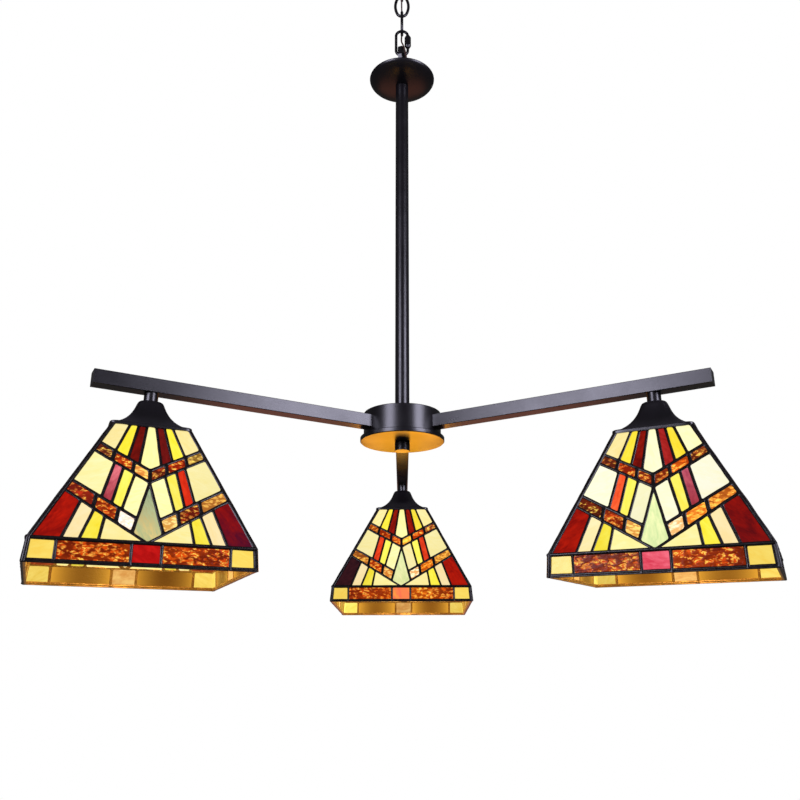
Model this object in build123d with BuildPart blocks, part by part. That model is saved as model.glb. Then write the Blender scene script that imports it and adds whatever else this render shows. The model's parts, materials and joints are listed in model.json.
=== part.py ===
"""Three-arm pool table lamp hung on a chain, with three square stained-glass shades.

Millimetres, +Z up.  The origin is on the ceiling plane, at the centre of the mounting strap.
The lamp faces -Y: one arm points straight back and the other two come forward to each side.
Heights inside the lamp are measured up from the underside of the hub, see level().
"""
from build123d import *
import os
from math import atan2, cos, degrees, hypot, radians, sin, sqrt

os.makedirs("parts", exist_ok=True)

# ---------------------------------------------------------------- driving dimensions
DROP = 884.0                # ceiling plane to the underside of the hub
WALL = 1.2                  # pressed steel covers
GAP = 0.3                   # between pieces that move against each other

CANOPY_R, CANOPY_DEPTH = 61.0, 22.0
STRAP_LENGTH, STRAP_WIDTH, STRAP_THICK = 100.0, 16.0, 2.0
SLOT_PITCH, SLOT_LENGTH, SLOT_WIDTH = 70.0, 20.0, 5.2

EYE_RING_R, EYE_WIRE_R = 11.0, 3.0          # ceiling eye, to the centre of its bar
LINK_WIRE_R = 2.4
LINK_HALF_LENGTH, LINK_HALF_WIDTH = 21.1, 11.25
LINK_END_R = 8.5
QUICK_WIRE_R, QUICK_END_R, QUICK_HALF_LEG = 2.3, 9.9, 15.3
SLEEVE_LENGTH, SLEEVE_FLATS = 24.4, 9.4
SLEEVE_TRAVEL = 5.5

CORD_R = 1.3
GLAND_PLACE, GLAND_R, GLAND_BOTTOM = (9.0, -20.0), 4.0, -24.0
LEAD_R = 1.5

NIPPLE_R, NIPPLE_BORE_R = 5.0, 3.4          # hollow threaded tube, M10
ROD_R, ROD_WALL = 10.4, 1.4
ROD_BOTTOM, ROD_TOP = 42.0, 611.2
COVER_R, COVER_DEPTH, COVER_RIM = 53.5, 14.0, 625.5
NECK_R, NECK_BOTTOM, NECK_TOP = 7.2, 612.9, 664.0
EYE_PLATE_THICK, EYE_PLATE_WIDTH, EYE_PLATE_TOP = 6.4, 24.0, 690.0
EYE_HOLE_R, EYE_HOLE_LEVEL, EYE_TURN = 6.0, 674.1, -20.0

CAN_R, CAN_TOP, CAN_BOTTOM, CAN_WALL = 55.2, 42.0, 3.0, 1.5
PAN_R, PAN_HEIGHT = 60.0, 6.5
FINIAL_R, FINIAL_HEIGHT = 10.7, 12.7
SPIDER_LEVEL, SPIDER_THICK = 10.7, 2.5
TERMINAL_R, TERMINAL_LEVEL, TERMINAL_HEIGHT = 20.0, 10.5, 9.0

ARM_WIDTH, ARM_HEIGHT, ARM_WALL = 20.0, 18.0, 1.5
ARM_LEVEL, ARM_INNER, ARM_REACH = 13.5, 30.0, 424.0
ARM_MIDDLE = ARM_LEVEL + ARM_HEIGHT / 2
SCREW_RADII = (37.0, 47.0)
SCREW_R, SCREW_HEAD_R = 2.4, 4.4

STEM_R, STEM_RADIUS = 8.5, 354.0            # stem, and its distance from the rod
CAP_LEVEL = 1.5                             # top of the shade cap
STEM_BOTTOM = CAP_LEVEL + 0.7
SOCKET_R, SOCKET_NECK_R = 17.0, 9.0

# each arm: azimuth, turn of its shade about the stem, and how far the shade leans on its loose nut
HEADS = {
    "left": dict(azimuth=210.0, turn=23.8, lean=(-0.6, -0.2)),
    "right": dict(azimuth=330.0, turn=-25.9, lean=(1.8, -0.8)),
    "back": dict(azimuth=90.0, turn=-1.1, lean=(-2.2, 0.0)),
}

# shade, below the top of its cap: a four-sided panel with an upright band under it
PANEL_TOP, PANEL_TOP_HALF = -41.3, 43.7
PANEL_FOOT, PANEL_FOOT_HALF = -185.5, 113.3
BAND_FOOT, BAND_FOOT_HALF = -209.2, 115.0
SHADE_THICK, GLASS_THICK = 3.6, 3.0
BEAD_HALF, HIP_BEAD = 1.6, 3.8              # solder line half width, and its width along a corner
PANEL_SLANT = hypot(PANEL_TOP - PANEL_FOOT, PANEL_FOOT_HALF - PANEL_TOP_HALF)
PANEL_LEAN = atan2(PANEL_FOOT_HALF - PANEL_TOP_HALF, PANEL_TOP - PANEL_FOOT)
BAND_LEAN = atan2(BAND_FOOT_HALF - PANEL_FOOT_HALF, PANEL_FOOT - BAND_FOOT)
BAND_HEIGHT = hypot(PANEL_FOOT - BAND_FOOT, BAND_FOOT_HALF - PANEL_FOOT_HALF)


def level(height):
    """Height above the hub's underside, as a Z in the part's frame."""
    return height - DROP


def polar(radius, azimuth, height):
    """A point of the lamp from its distance from the rod, its azimuth and its height."""
    return (radius * cos(radians(azimuth)), radius * sin(radians(azimuth)), level(height))


def save(piece, name):
    """Label one finished sub-part and write it."""
    piece.part.label = name
    export_step(piece.part, f"parts/{name}.step")


# ---------------------------------------------------------------- ceiling fitting
with BuildPart() as mounting_strap:
    with BuildSketch(Plane.XY.offset(-STRAP_THICK)):
        Rectangle(STRAP_LENGTH, STRAP_WIDTH)
        Circle(NIPPLE_R + 0.1, mode=Mode.SUBTRACT)
        with GridLocations(SLOT_PITCH, 0, 2, 1):
            SlotOverall(SLOT_LENGTH, SLOT_WIDTH, mode=Mode.SUBTRACT)
    extrude(amount=STRAP_THICK)
save(mounting_strap, "mounting_strap")


def dish(radius, depth, hole_r, rim_z):
    """A shallow pressed dish, open upwards, with a hole at its bottom."""
    with BuildPart() as shell:
        with BuildSketch(Plane.XZ):
            with Locations((0, rim_z)):
                Ellipse(radius, depth)
                Ellipse(radius - WALL, depth - WALL, mode=Mode.SUBTRACT)
                Rectangle(radius, depth, align=(Align.MIN, Align.MAX), mode=Mode.INTERSECT)
        revolve(axis=Axis.Z)
        with Locations((0, 0, rim_z - depth)):
            Cylinder(hole_r, 4 * WALL, mode=Mode.SUBTRACT)
    return shell


def hex_nut(flats, bore_r, bottom, height, places=((0, 0),)):
    """Hexagonal nuts standing on one level, one at each place."""
    with BuildPart() as nuts:
        with BuildSketch(Plane.XY.offset(bottom)):
            with Locations(*places):
                RegularPolygon(flats / sqrt(3), 6)
                Circle(bore_r, mode=Mode.SUBTRACT)
        extrude(amount=height)
    return nuts


ceiling_canopy = dish(CANOPY_R, CANOPY_DEPTH, NIPPLE_R + 0.3, 0)
with BuildPart() as canopy_with_gland_hole:
    add(ceiling_canopy.part)
    with Locations(GLAND_PLACE):
        Cylinder(GLAND_R, 2 * CANOPY_DEPTH, mode=Mode.SUBTRACT)
save(canopy_with_gland_hole, "ceiling_canopy")

EYE_CENTRE = level(832.4) + EYE_RING_R      # the bar that the chain hangs on is at 832.4
with BuildPart() as ceiling_eye:
    with BuildSketch(Plane.XY.offset(EYE_CENTRE)):
        with Locations((EYE_RING_R, 0)):
            Circle(EYE_WIRE_R)
    revolve(axis=Axis((0, 0, EYE_CENTRE), (0, 1, 0)))
    with BuildSketch(Plane.XY.offset(EYE_CENTRE + EYE_RING_R)):
        Circle(NIPPLE_R)
    extrude(amount=-(EYE_CENTRE + EYE_RING_R))
save(ceiling_eye, "ceiling_eye")

with BuildPart() as canopy_collar:
    with BuildSketch(Plane.XY.offset(-CANOPY_DEPTH - 4.2)):
        Circle(10)
        Circle(NIPPLE_R + 0.1, mode=Mode.SUBTRACT)
    extrude(amount=4.2)
    chamfer(canopy_collar.edges().filter_by(GeomType.CIRCLE).group_by(SortBy.RADIUS)[-1], 0.8)
save(canopy_collar, "canopy_collar")
save(hex_nut(16, NIPPLE_R + 0.1, -STRAP_THICK - 5, 5), "strap_nut")

with BuildPart() as cord_gland:
    with BuildSketch(Plane.XY.offset(GLAND_BOTTOM)):
        with Locations(GLAND_PLACE):
            Circle(GLAND_R - 0.05)
            Circle(CORD_R + 0.5, mode=Mode.SUBTRACT)
    extrude(amount=9)
    with BuildSketch(Plane.XY.offset(GLAND_BOTTOM - 2.5)):
        with Locations(GLAND_PLACE):
            Circle(GLAND_R + 1.5)
            Circle(CORD_R + 0.5, mode=Mode.SUBTRACT)
    extrude(amount=2.5)
save(cord_gland, "cord_gland")

with BuildPart() as ceiling_terminal:
    with Locations((GLAND_PLACE[0], GLAND_PLACE[1], -1)):
        Box(20, 12, 9, align=(Align.CENTER, Align.CENTER, Align.MAX))
save(ceiling_terminal, "ceiling_terminal")


# ---------------------------------------------------------------- chain
def oval_link(plane):
    """One welded oval link: small arcs at its ends joined by long shallow arcs at its sides."""
    end_offset = LINK_HALF_LENGTH - LINK_END_R
    reach = LINK_END_R - LINK_HALF_WIDTH
    side_r = (end_offset ** 2 + LINK_HALF_WIDTH ** 2 - LINK_END_R ** 2) / (-2 * reach)
    flare = atan2(end_offset, side_r - LINK_HALF_WIDTH)
    joint_x = LINK_END_R * cos(flare)
    joint_y = end_offset + LINK_END_R * sin(flare)
    with BuildPart() as link:
        with BuildLine(plane):
            for side in (1, -1):
                ThreePointArc((side * joint_x, side * joint_y), (0, side * LINK_HALF_LENGTH),
                              (-side * joint_x, side * joint_y))
                ThreePointArc((-side * joint_x, side * joint_y), (-side * LINK_HALF_WIDTH, 0),
                              (-side * joint_x, -side * joint_y))
        start = plane.from_local_coords((0, LINK_HALF_LENGTH, 0))
        with BuildSketch(Plane(origin=start, z_dir=plane.x_dir)):
            Circle(LINK_WIRE_R)
        sweep()
    return link


def link_plane(centre_height, across):
    """Plane of a link: its x is across the link and its y is up."""
    return Plane(origin=(0, 0, level(centre_height)), x_dir=across,
                 z_dir=Vector(*across).cross(Vector(0, 0, 1)))


LINK_HEIGHTS = {"chain_link_top": (817.0, (0, 1, 0)), "chain_link_middle": (779.9, (1, 0, 0)),
                "chain_link_bottom": (742.8, (0, 1, 0))}
for link_name, (link_height, link_across) in LINK_HEIGHTS.items():
    save(oval_link(link_plane(link_height, link_across)), link_name)

QUICK_MIDDLE = 701.5
QUICK_X = 0.0
SLEEVE_BOTTOM = 692.0
with BuildPart() as quick_link:
    top_end, low_end = QUICK_HALF_LEG, -QUICK_HALF_LEG
    with BuildLine(Plane(origin=(0, 0, level(QUICK_MIDDLE)), x_dir=(1, 0, 0), z_dir=(0, -1, 0))):
        Line((QUICK_END_R, low_end), (QUICK_END_R, top_end))
        ThreePointArc((QUICK_END_R, top_end), (0, top_end + QUICK_END_R), (-QUICK_END_R, top_end))
        Line((-QUICK_END_R, top_end), (-QUICK_END_R, low_end))
        ThreePointArc((-QUICK_END_R, low_end), (0, low_end - QUICK_END_R), (QUICK_END_R, low_end))
    with BuildSketch(Plane.XY.offset(level(QUICK_MIDDLE))):
        with Locations((-QUICK_END_R, 0)):
            Circle(QUICK_WIRE_R)
    sweep()
    # the opening, shut by the sleeve while the link is in use
    with Locations((QUICK_END_R, 0, level(SLEEVE_BOTTOM + SLEEVE_LENGTH - SLEEVE_TRAVEL))):
        Cylinder(QUICK_WIRE_R + 0.2, SLEEVE_TRAVEL - 0.5,
                 align=(Align.CENTER, Align.CENTER, Align.MIN), mode=Mode.SUBTRACT)
save(quick_link, "quick_link")

with BuildPart() as quick_link_sleeve:
    with BuildSketch(Plane.XY.offset(level(SLEEVE_BOTTOM))):
        with Locations((QUICK_END_R, 0)):
            RegularPolygon(SLEEVE_FLATS / sqrt(3), 6)
    extrude(amount=SLEEVE_LENGTH)
    # turned ends: the corners of the hexagon run out into a cone
    with BuildSketch(Plane(origin=(QUICK_END_R, 0, level(SLEEVE_BOTTOM)), x_dir=(1, 0, 0), z_dir=(0, -1, 0))):
        with BuildLine():
            Polyline((0, 0), (3.4, 0), (5.8, 4), (5.8, SLEEVE_LENGTH - 4), (3.4, SLEEVE_LENGTH),
                     (0, SLEEVE_LENGTH), close=True)
        make_face()
    revolve(axis=Axis((QUICK_END_R, 0, 0), (0, 0, 1)), mode=Mode.INTERSECT)
    with Locations((QUICK_END_R, 0, level(SLEEVE_BOTTOM))):
        Cylinder(QUICK_WIRE_R + GAP, SLEEVE_LENGTH, align=(Align.CENTER, Align.CENTER, Align.MIN),
                 mode=Mode.SUBTRACT)
save(quick_link_sleeve, "quick_link_sleeve")


# ---------------------------------------------------------------- cord and wiring
def cord_tube(name, points, radii, tube_r):
    """A round cord along straight runs joined by tangent arcs."""
    with BuildPart() as cord:
        with BuildLine() as route:
            FilletPolyline(*points, radius=radii)
        first = Vector(*points[0])
        heading = (Vector(*points[1]) - first).normalized()
        with BuildSketch(Plane(origin=first, z_dir=heading)):
            Circle(tube_r)
        sweep(path=route.wires()[0])
    length = route.wires()[0].length
    print(f"{name}: {length:.1f} mm, volume {cord.part.volume:.1f}, "
          f"section x length {length * tube_r ** 2 * 3.141593:.1f}, radii {[round(r, 1) for r in radii]}")
    save(cord, name)


def corner_radii(points, limit):
    """The largest arc that the two runs at each corner allow, up to a limit."""
    radii = []
    for before, here, after in zip(points, points[1:], points[2:]):
        one, two = Vector(*here) - Vector(*before), Vector(*after) - Vector(*here)
        turn = radians(one.get_angle(two))
        radii.append(min(limit, 0.45 * min(one.length, two.length) / (sin(turn / 2) / cos(turn / 2))))
    return radii


# from the terminal in the canopy, in front of the top link, through the middle one, behind the
# bottom one, through the quick link, past the hanger's plate and into the side of its neck
SUPPLY_ROUTE = [
    (GLAND_PLACE[0], GLAND_PLACE[1], -10.1),
    (GLAND_PLACE[0] + 0.2, GLAND_PLACE[1] - 0.1, -24.0),
    (GLAND_PLACE[0] - 0.4, GLAND_PLACE[1] + 0.3, -39.0),
    (4.0, -18.0, level(831.0)),
    (0.0, -16.2, level(813.0)),
    (-0.5, -13.5, level(794.0)),
    (-0.5, 0.0, level(779.0)),
    (0.3, 13.5, level(764.0)),
    (0.3, 16.4, level(743.0)),
    (-0.8, 12.8, level(724.0)),
    (-0.9, 4.0, level(712.0)),
    (-0.6, -3.0, level(701.0)),
    (1.6, -7.4, level(692.5)),
    (4.2, -7.7, level(684.0)),
    (6.4, -7.0, level(674.0)),
    (7.6, -7.2, level(662.5)),
    (3.6, -3.6, level(646.0)),
    (0.0, 0.0, level(636.0)),
    (0.0, 0.0, level(625.0)),
]
cord_tube("supply_cord", SUPPLY_ROUTE, corner_radii(SUPPLY_ROUTE, 60), CORD_R)

ROD_CORD_ROUTE = [(0, 0, level(625.0)), (0, 0, level(15.0)), (0, -NIPPLE_R - 0.85, level(15.0))]
cord_tube("rod_cord", ROD_CORD_ROUTE, [4.0], CORD_R)

with BuildPart() as arm_leads:
    for head in HEADS.values():
        turn_to_arm = head["azimuth"]
        lead_points = [polar(TERMINAL_R, turn_to_arm, 16.8), polar(TERMINAL_R + 6, turn_to_arm, 16.8),
                       polar(ARM_INNER + 12, turn_to_arm, 25.3), polar(STEM_RADIUS, turn_to_arm, 25.3),
                       polar(STEM_RADIUS, turn_to_arm, -17.5)]
        with BuildLine() as lead_route:
            FilletPolyline(*lead_points, radius=[6.0, 8.0, 4.5])
        outward = Vector(cos(radians(turn_to_arm)), sin(radians(turn_to_arm)), 0)
        with BuildSketch(Plane(origin=lead_points[0], z_dir=outward)):
            Circle(LEAD_R)
        sweep(path=lead_route.wires()[0])
save(arm_leads, "arm_leads")

# ---------------------------------------------------------------- rod and top cover
with BuildPart() as hanger_eye:
    with BuildSketch(Plane.XY.offset(level(NECK_BOTTOM))):
        Circle(NECK_R)
    extrude(amount=NECK_TOP - NECK_BOTTOM)
    with BuildSketch(Plane(origin=(0, 0, level(NECK_TOP)), x_dir=(sin(radians(-EYE_TURN)),
                     cos(radians(-EYE_TURN)), 0), z_dir=(cos(radians(EYE_TURN)), sin(radians(EYE_TURN)), 0))):
        with BuildLine():
            shoulder = EYE_PLATE_WIDTH / 2
            crown = EYE_PLATE_TOP - NECK_TOP
            Polyline((-NECK_R, -3), (NECK_R, -3), (shoulder, 6), (shoulder, crown), (-shoulder, crown),
                     (-shoulder, 6), close=True)
        make_face()
        with Locations((0, EYE_HOLE_LEVEL - NECK_TOP)):
            Circle(EYE_HOLE_R, mode=Mode.SUBTRACT)
    extrude(amount=EYE_PLATE_THICK / 2, both=True)
    crown_edges = hanger_eye.edges().filter_by(GeomType.LINE).sort_by(Axis.Z)
    across = [e for e in crown_edges if abs(e.center().Z - level(EYE_PLATE_TOP)) < 0.01
              and abs(e.length - EYE_PLATE_THICK) < 0.01]
    fillet(across, 8.0)
    # thread for the nipple, the chamber above it, and the slanting hole that lets the cord in
    with Locations((0, 0, level(NECK_BOTTOM))):
        Cylinder(NIPPLE_R + 0.05, 17.0, align=(Align.CENTER, Align.CENTER, Align.MIN), mode=Mode.SUBTRACT)
        Cylinder(4.4, 30.0, align=(Align.CENTER, Align.CENTER, Align.MIN), mode=Mode.SUBTRACT)
    with BuildSketch(Plane(origin=(0, 0, level(636.0)), z_dir=(3.6, -3.6, 10.0))):
        Circle(3.1)
    extrude(amount=30, mode=Mode.SUBTRACT)
save(hanger_eye, "hanger_eye")

save(dish(COVER_R, COVER_DEPTH, NIPPLE_R + 0.3, level(COVER_RIM)), "top_cover")


def hollow_nipple(bottom, top, places=((0, 0),)):
    """Hollow threaded tubes between two heights of the lamp."""
    with BuildPart() as nipples:
        with BuildSketch(Plane.XY.offset(level(bottom))):
            with Locations(*places):
                Circle(NIPPLE_R)
                Circle(NIPPLE_BORE_R, mode=Mode.SUBTRACT)
        extrude(amount=top - bottom)
    return nipples


save(hollow_nipple(600.0, 629.5), "top_nipple")

with BuildPart() as down_rod:
    with BuildSketch(Plane.XY.offset(level(ROD_BOTTOM))):
        Circle(ROD_R)
        Circle(ROD_R - ROD_WALL, mode=Mode.SUBTRACT)
    extrude(amount=ROD_TOP - ROD_BOTTOM)
save(down_rod, "down_rod")

with BuildPart() as rod_bushings:
    for bushing_bottom in (ROD_BOTTOM + 0.5, ROD_TOP - 14.5):
        with BuildSketch(Plane.XY.offset(level(bushing_bottom))):
            Circle(ROD_R - ROD_WALL - 0.05)
            Circle(NIPPLE_R + 0.05, mode=Mode.SUBTRACT)
        extrude(amount=14)
save(rod_bushings, "rod_bushings")

# ---------------------------------------------------------------- hub
ARM_AZIMUTHS = [head["azimuth"] for head in HEADS.values()]


def arm_plane(azimuth, height):
    """Plane across an arm at the rod's axis: x is sideways, y is up, and z points out along the arm."""
    out = (cos(radians(azimuth)), sin(radians(azimuth)), 0)
    return Plane(origin=(0, 0, level(height)), x_dir=(out[1], -out[0], 0), z_dir=out)


with BuildPart() as hub_can:
    with BuildSketch(Plane.XY.offset(level(CAN_BOTTOM))):
        Circle(CAN_R)
        Circle(CAN_R - CAN_WALL, mode=Mode.SUBTRACT)
    extrude(amount=CAN_TOP - CAN_WALL - CAN_BOTTOM)
    with BuildSketch(Plane.XY.offset(level(CAN_TOP - CAN_WALL))):
        Circle(CAN_R)
        Circle(NIPPLE_R + 0.3, mode=Mode.SUBTRACT)
    extrude(amount=CAN_WALL)
    fillet(hub_can.edges().filter_by(GeomType.CIRCLE).group_by(Axis.Z)[-1].sort_by(SortBy.RADIUS)[-1], 1.0)
    for arm_azimuth in ARM_AZIMUTHS:
        with BuildSketch(arm_plane(arm_azimuth, ARM_MIDDLE)):
            Rectangle(ARM_WIDTH + 0.4, ARM_HEIGHT + 0.4)
        extrude(amount=CAN_R + 5, mode=Mode.SUBTRACT)
save(hub_can, "hub_can")
save(hex_nut(17, NIPPLE_R + 0.05, level(CAN_TOP - CAN_WALL - 5.2), 5.0), "hub_lock_nut")

with BuildPart() as hub_nipple:
    add(hollow_nipple(-9.5, 55.5).part)
    with Locations((0, -NIPPLE_R, level(15.5))):
        Box(4.4, 6, 13, mode=Mode.SUBTRACT)
save(hub_nipple, "hub_nipple")

with BuildPart() as hub_spider:
    with BuildSketch(Plane.XY.offset(level(SPIDER_LEVEL))):
        Circle(CAN_R - CAN_WALL - 0.15)
        Circle(TERMINAL_R + 2, mode=Mode.SUBTRACT)
        for screw_radius in SCREW_RADII:
            with PolarLocations(screw_radius, 3, start_angle=90):
                Circle(SCREW_R + 0.2, mode=Mode.SUBTRACT)
    extrude(amount=SPIDER_THICK)
save(hub_spider, "hub_spider")

with BuildPart() as arm_screws:
    for screw_radius in SCREW_RADII:
        with BuildSketch(Plane.XY.offset(level(SPIDER_LEVEL))):
            with PolarLocations(screw_radius, 3, start_angle=90):
                Circle(SCREW_R)
        extrude(amount=7)
        with BuildSketch(Plane.XY.offset(level(SPIDER_LEVEL - 3.2))):
            with PolarLocations(screw_radius, 3, start_angle=90):
                Circle(SCREW_HEAD_R)
        extrude(amount=3.2)
save(arm_screws, "arm_screws")

with BuildPart() as hub_terminal:
    with BuildSketch(Plane.XY.offset(level(TERMINAL_LEVEL))):
        Circle(TERMINAL_R)
        Circle(NIPPLE_R + 1.2, mode=Mode.SUBTRACT)
    extrude(amount=TERMINAL_HEIGHT)
save(hub_terminal, "hub_terminal")

with BuildPart() as hub_bottom_cover:
    with BuildSketch(Plane.XZ):
        with BuildLine():
            Polyline((NIPPLE_R + 0.3, level(0)), (PAN_R - 1, level(0)), (PAN_R, level(1)),
                     (PAN_R, level(PAN_HEIGHT - 0.8)), (PAN_R - 0.8, level(PAN_HEIGHT)),
                     (CAN_R + 0.3, level(PAN_HEIGHT)), (CAN_R + 0.3, level(PAN_HEIGHT - WALL)),
                     (PAN_R - WALL, level(PAN_HEIGHT - WALL)), (PAN_R - WALL, level(WALL)),
                     (NIPPLE_R + 0.3, level(WALL)), close=True)
        make_face()
    revolve(axis=Axis.Z)
save(hub_bottom_cover, "hub_bottom_cover")

with BuildPart() as finial:
    with BuildSketch(Plane.XY.offset(level(-FINIAL_HEIGHT))):
        Circle(FINIAL_R)
    extrude(amount=FINIAL_HEIGHT - GAP)
    fillet(finial.edges().group_by(Axis.Z)[-1], 1.2)
    chamfer(finial.edges().group_by(Axis.Z)[0], 0.5)
    with Locations((0, 0, level(-GAP))):
        Cylinder(NIPPLE_R + GAP, 10.2, align=(Align.CENTER, Align.CENTER, Align.MAX), mode=Mode.SUBTRACT)
save(finial, "finial")

# ---------------------------------------------------------------- arms and stems
STEM_PLACES = [polar(STEM_RADIUS, azimuth, 0)[:2] for azimuth in ARM_AZIMUTHS]

for arm_name, head in HEADS.items():
    with BuildPart() as arm:
        with BuildSketch(arm_plane(head["azimuth"], ARM_MIDDLE).offset(ARM_INNER)):
            RectangleRounded(ARM_WIDTH, ARM_HEIGHT, 0.8)
            Rectangle(ARM_WIDTH - 2 * ARM_WALL, ARM_HEIGHT - 2 * ARM_WALL, mode=Mode.SUBTRACT)
        extrude(amount=ARM_REACH - ARM_WALL - ARM_INNER)
        with Locations(*[polar(r, head["azimuth"], ARM_LEVEL) for r in SCREW_RADII]):
            Cylinder(SCREW_R + 0.1, 4 * ARM_WALL, mode=Mode.SUBTRACT)
        with Locations(polar(STEM_RADIUS, head["azimuth"], ARM_LEVEL)):
            Cylinder(NIPPLE_R + 0.2, 4 * ARM_WALL, mode=Mode.SUBTRACT)
    save(arm, f"arm_{arm_name}")

with BuildPart() as arm_end_plugs:
    for arm_azimuth in ARM_AZIMUTHS:
        with BuildSketch(arm_plane(arm_azimuth, ARM_MIDDLE).offset(ARM_REACH - ARM_WALL)):
            RectangleRounded(ARM_WIDTH, ARM_HEIGHT, 0.8)
        extrude(amount=ARM_WALL)
        with BuildSketch(arm_plane(arm_azimuth, ARM_MIDDLE).offset(ARM_REACH - ARM_WALL)):
            Rectangle(ARM_WIDTH - 2 * ARM_WALL - 0.2, ARM_HEIGHT - 2 * ARM_WALL - 0.2)
        extrude(amount=-6)
save(arm_end_plugs, "arm_end_plugs")

save(hex_nut(14, NIPPLE_R + 0.05, level(ARM_LEVEL + ARM_WALL), 4.5, STEM_PLACES), "stem_lock_nuts")
save(hollow_nipple(-18.0, ARM_LEVEL + ARM_WALL + 6.0, STEM_PLACES), "stem_nipples")

with BuildPart() as stems:
    with BuildSketch(Plane.XY.offset(level(STEM_BOTTOM))):
        with Locations(*STEM_PLACES):
            Circle(STEM_R)
            Circle(NIPPLE_R + 0.2, mode=Mode.SUBTRACT)
    extrude(amount=ARM_LEVEL - STEM_BOTTOM)
save(stems, "stems")

with BuildPart() as shade_nuts:
    with BuildSketch(Plane.XY.offset(level(CAP_LEVEL - WALL - 5.2))):
        with Locations(*STEM_PLACES):
            Circle(9.5)
            Circle(NIPPLE_R + 0.05, mode=Mode.SUBTRACT)
    extrude(amount=4.4)
save(shade_nuts, "shade_nuts")

# ---------------------------------------------------------------- sockets and bulbs
with BuildPart() as sockets:
    with BuildSketch(Plane.XY.offset(level(-21.0))):
        with Locations(*STEM_PLACES):
            Circle(SOCKET_NECK_R)
    extrude(amount=16.0)
    with BuildSketch(Plane.XY.offset(level(-61.0))):
        with Locations(*STEM_PLACES):
            Circle(SOCKET_R)
    extrude(amount=40.0)
    with BuildSketch(Plane.XY.offset(level(-61.0))):
        with Locations(*STEM_PLACES):
            Circle(14.4)
    extrude(amount=29.3, mode=Mode.SUBTRACT)
    with BuildSketch(Plane.XY.offset(level(-18.0))):
        with Locations(*STEM_PLACES):
            Circle(NIPPLE_R)
    extrude(amount=14.0, mode=Mode.SUBTRACT)
save(sockets, "sockets")

with BuildPart() as socket_shells:
    with BuildSketch(Plane.XY.offset(level(-58.0))):
        with Locations(*STEM_PLACES):
            Circle(14.3)
            Circle(13.7, mode=Mode.SUBTRACT)
    extrude(amount=26.0)
save(socket_shells, "socket_shells")

BULB_BASE_TOP, BULB_BASE_BOTTOM, BULB_BASE_R = -32.0, -58.0, 13.2
for head_name, (stem_x, stem_y) in zip(HEADS, STEM_PLACES):
    with BuildPart() as bulb_base:
        with Locations((stem_x, stem_y, level(BULB_BASE_BOTTOM))):
            Cylinder(BULB_BASE_R, BULB_BASE_TOP - BULB_BASE_BOTTOM - 3,
                     align=(Align.CENTER, Align.CENTER, Align.MIN))
        with Locations((stem_x, stem_y, level(BULB_BASE_TOP - 3))):
            Cone(BULB_BASE_R - 1, 4.5, 3, align=(Align.CENTER, Align.CENTER, Align.MIN))
    save(bulb_base, f"bulb_base_{head_name}")

    # pear-shaped glass: a neck, a tangent flare and a round end
    with BuildPart() as bulb_glass:
        with BuildSketch(Plane(origin=(stem_x, stem_y, level(0)), x_dir=(1, 0, 0), z_dir=(0, -1, 0))):
            with BuildLine():
                ball_r, ball_level, neck_r = 29.5, -112.0, 13.0
                flare_turn = radians(35)
                edge = (ball_r * cos(flare_turn), ball_level + ball_r * sin(flare_turn))
                Line((0, BULB_BASE_BOTTOM), (neck_r, BULB_BASE_BOTTOM))
                Spline((neck_r, BULB_BASE_BOTTOM), edge, tangents=((0, -1),
                       (sin(flare_turn), -cos(flare_turn))))
                ThreePointArc(edge, (ball_r * cos(radians(-25)), ball_level + ball_r * sin(radians(-25))),
                              (0, ball_level - ball_r))
                Line((0, ball_level - ball_r), (0, BULB_BASE_BOTTOM))
            make_face()
        revolve(axis=Axis((stem_x, stem_y, 0), (0, 0, 1)))
        offset(amount=-1.0, openings=bulb_glass.faces().sort_by(Axis.Z)[-1])
    save(bulb_glass, f"bulb_glass_{head_name}")

# ---------------------------------------------------------------- shades, in their own frame
CAP_PROFILE = [(11.5, 0), (14.0, -1.2), (15.6, -3.6), (17.6, -9.0), (20.6, -16.0), (25.0, -23.5),
               (31.0, -30.5), (38.5, -36.3), (45.2, -38.6), (46.4, -40.2), (46.4, -43.0)]

with BuildPart() as cap_shape:
    for cap_axis in (Plane.XZ, Plane.YZ):
        mode = Mode.ADD if cap_axis == Plane.XZ else Mode.INTERSECT
        with BuildSketch(cap_axis) as cap_section:
            with BuildLine():
                Polyline(*CAP_PROFILE)
                Polyline(CAP_PROFILE[-1], (-CAP_PROFILE[-1][0], CAP_PROFILE[-1][1]))
                Polyline(*[(-x, z) for x, z in reversed(CAP_PROFILE)])
                Line((-CAP_PROFILE[0][0], 0), CAP_PROFILE[0])
            make_face()
        extrude(amount=60, both=True, mode=mode)
    offset(amount=-WALL, openings=cap_shape.faces().sort_by(Axis.Z)[0])
    Cylinder(NIPPLE_R + 0.9, 10, mode=Mode.SUBTRACT)


# the panel's pattern: u runs sideways from the middle and v down the slope
def edge_half(v):
    """Half width of the panel at a distance down its slope."""
    return PANEL_TOP_HALF + (PANEL_FOOT_HALF - PANEL_TOP_HALF) * v / PANEL_SLANT


class Chevron:
    """A V-shaped line: its depth in the middle, and how fast it rises to the sides."""

    def __init__(self, depth, rise):
        self.depth, self.rise = depth, rise

    def at(self, u):
        return (u, self.depth - self.rise * u)

    def edge(self):
        spread = (PANEL_FOOT_HALF - PANEL_TOP_HALF) / PANEL_SLANT
        u = (PANEL_TOP_HALF + spread * self.depth) / (1 + spread * self.rise)
        return (u, self.depth - self.rise * u)


UPPER_TOP, UPPER_LOW = Chevron(65.0, 0.63), Chevron(82.0, 0.65)
LOWER_TOP, LOWER_LOW = Chevron(137.5, 0.66), Chevron(PANEL_SLANT, 0.715)
KITE_SPREAD = 0.233
FOOT = PANEL_SLANT


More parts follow.
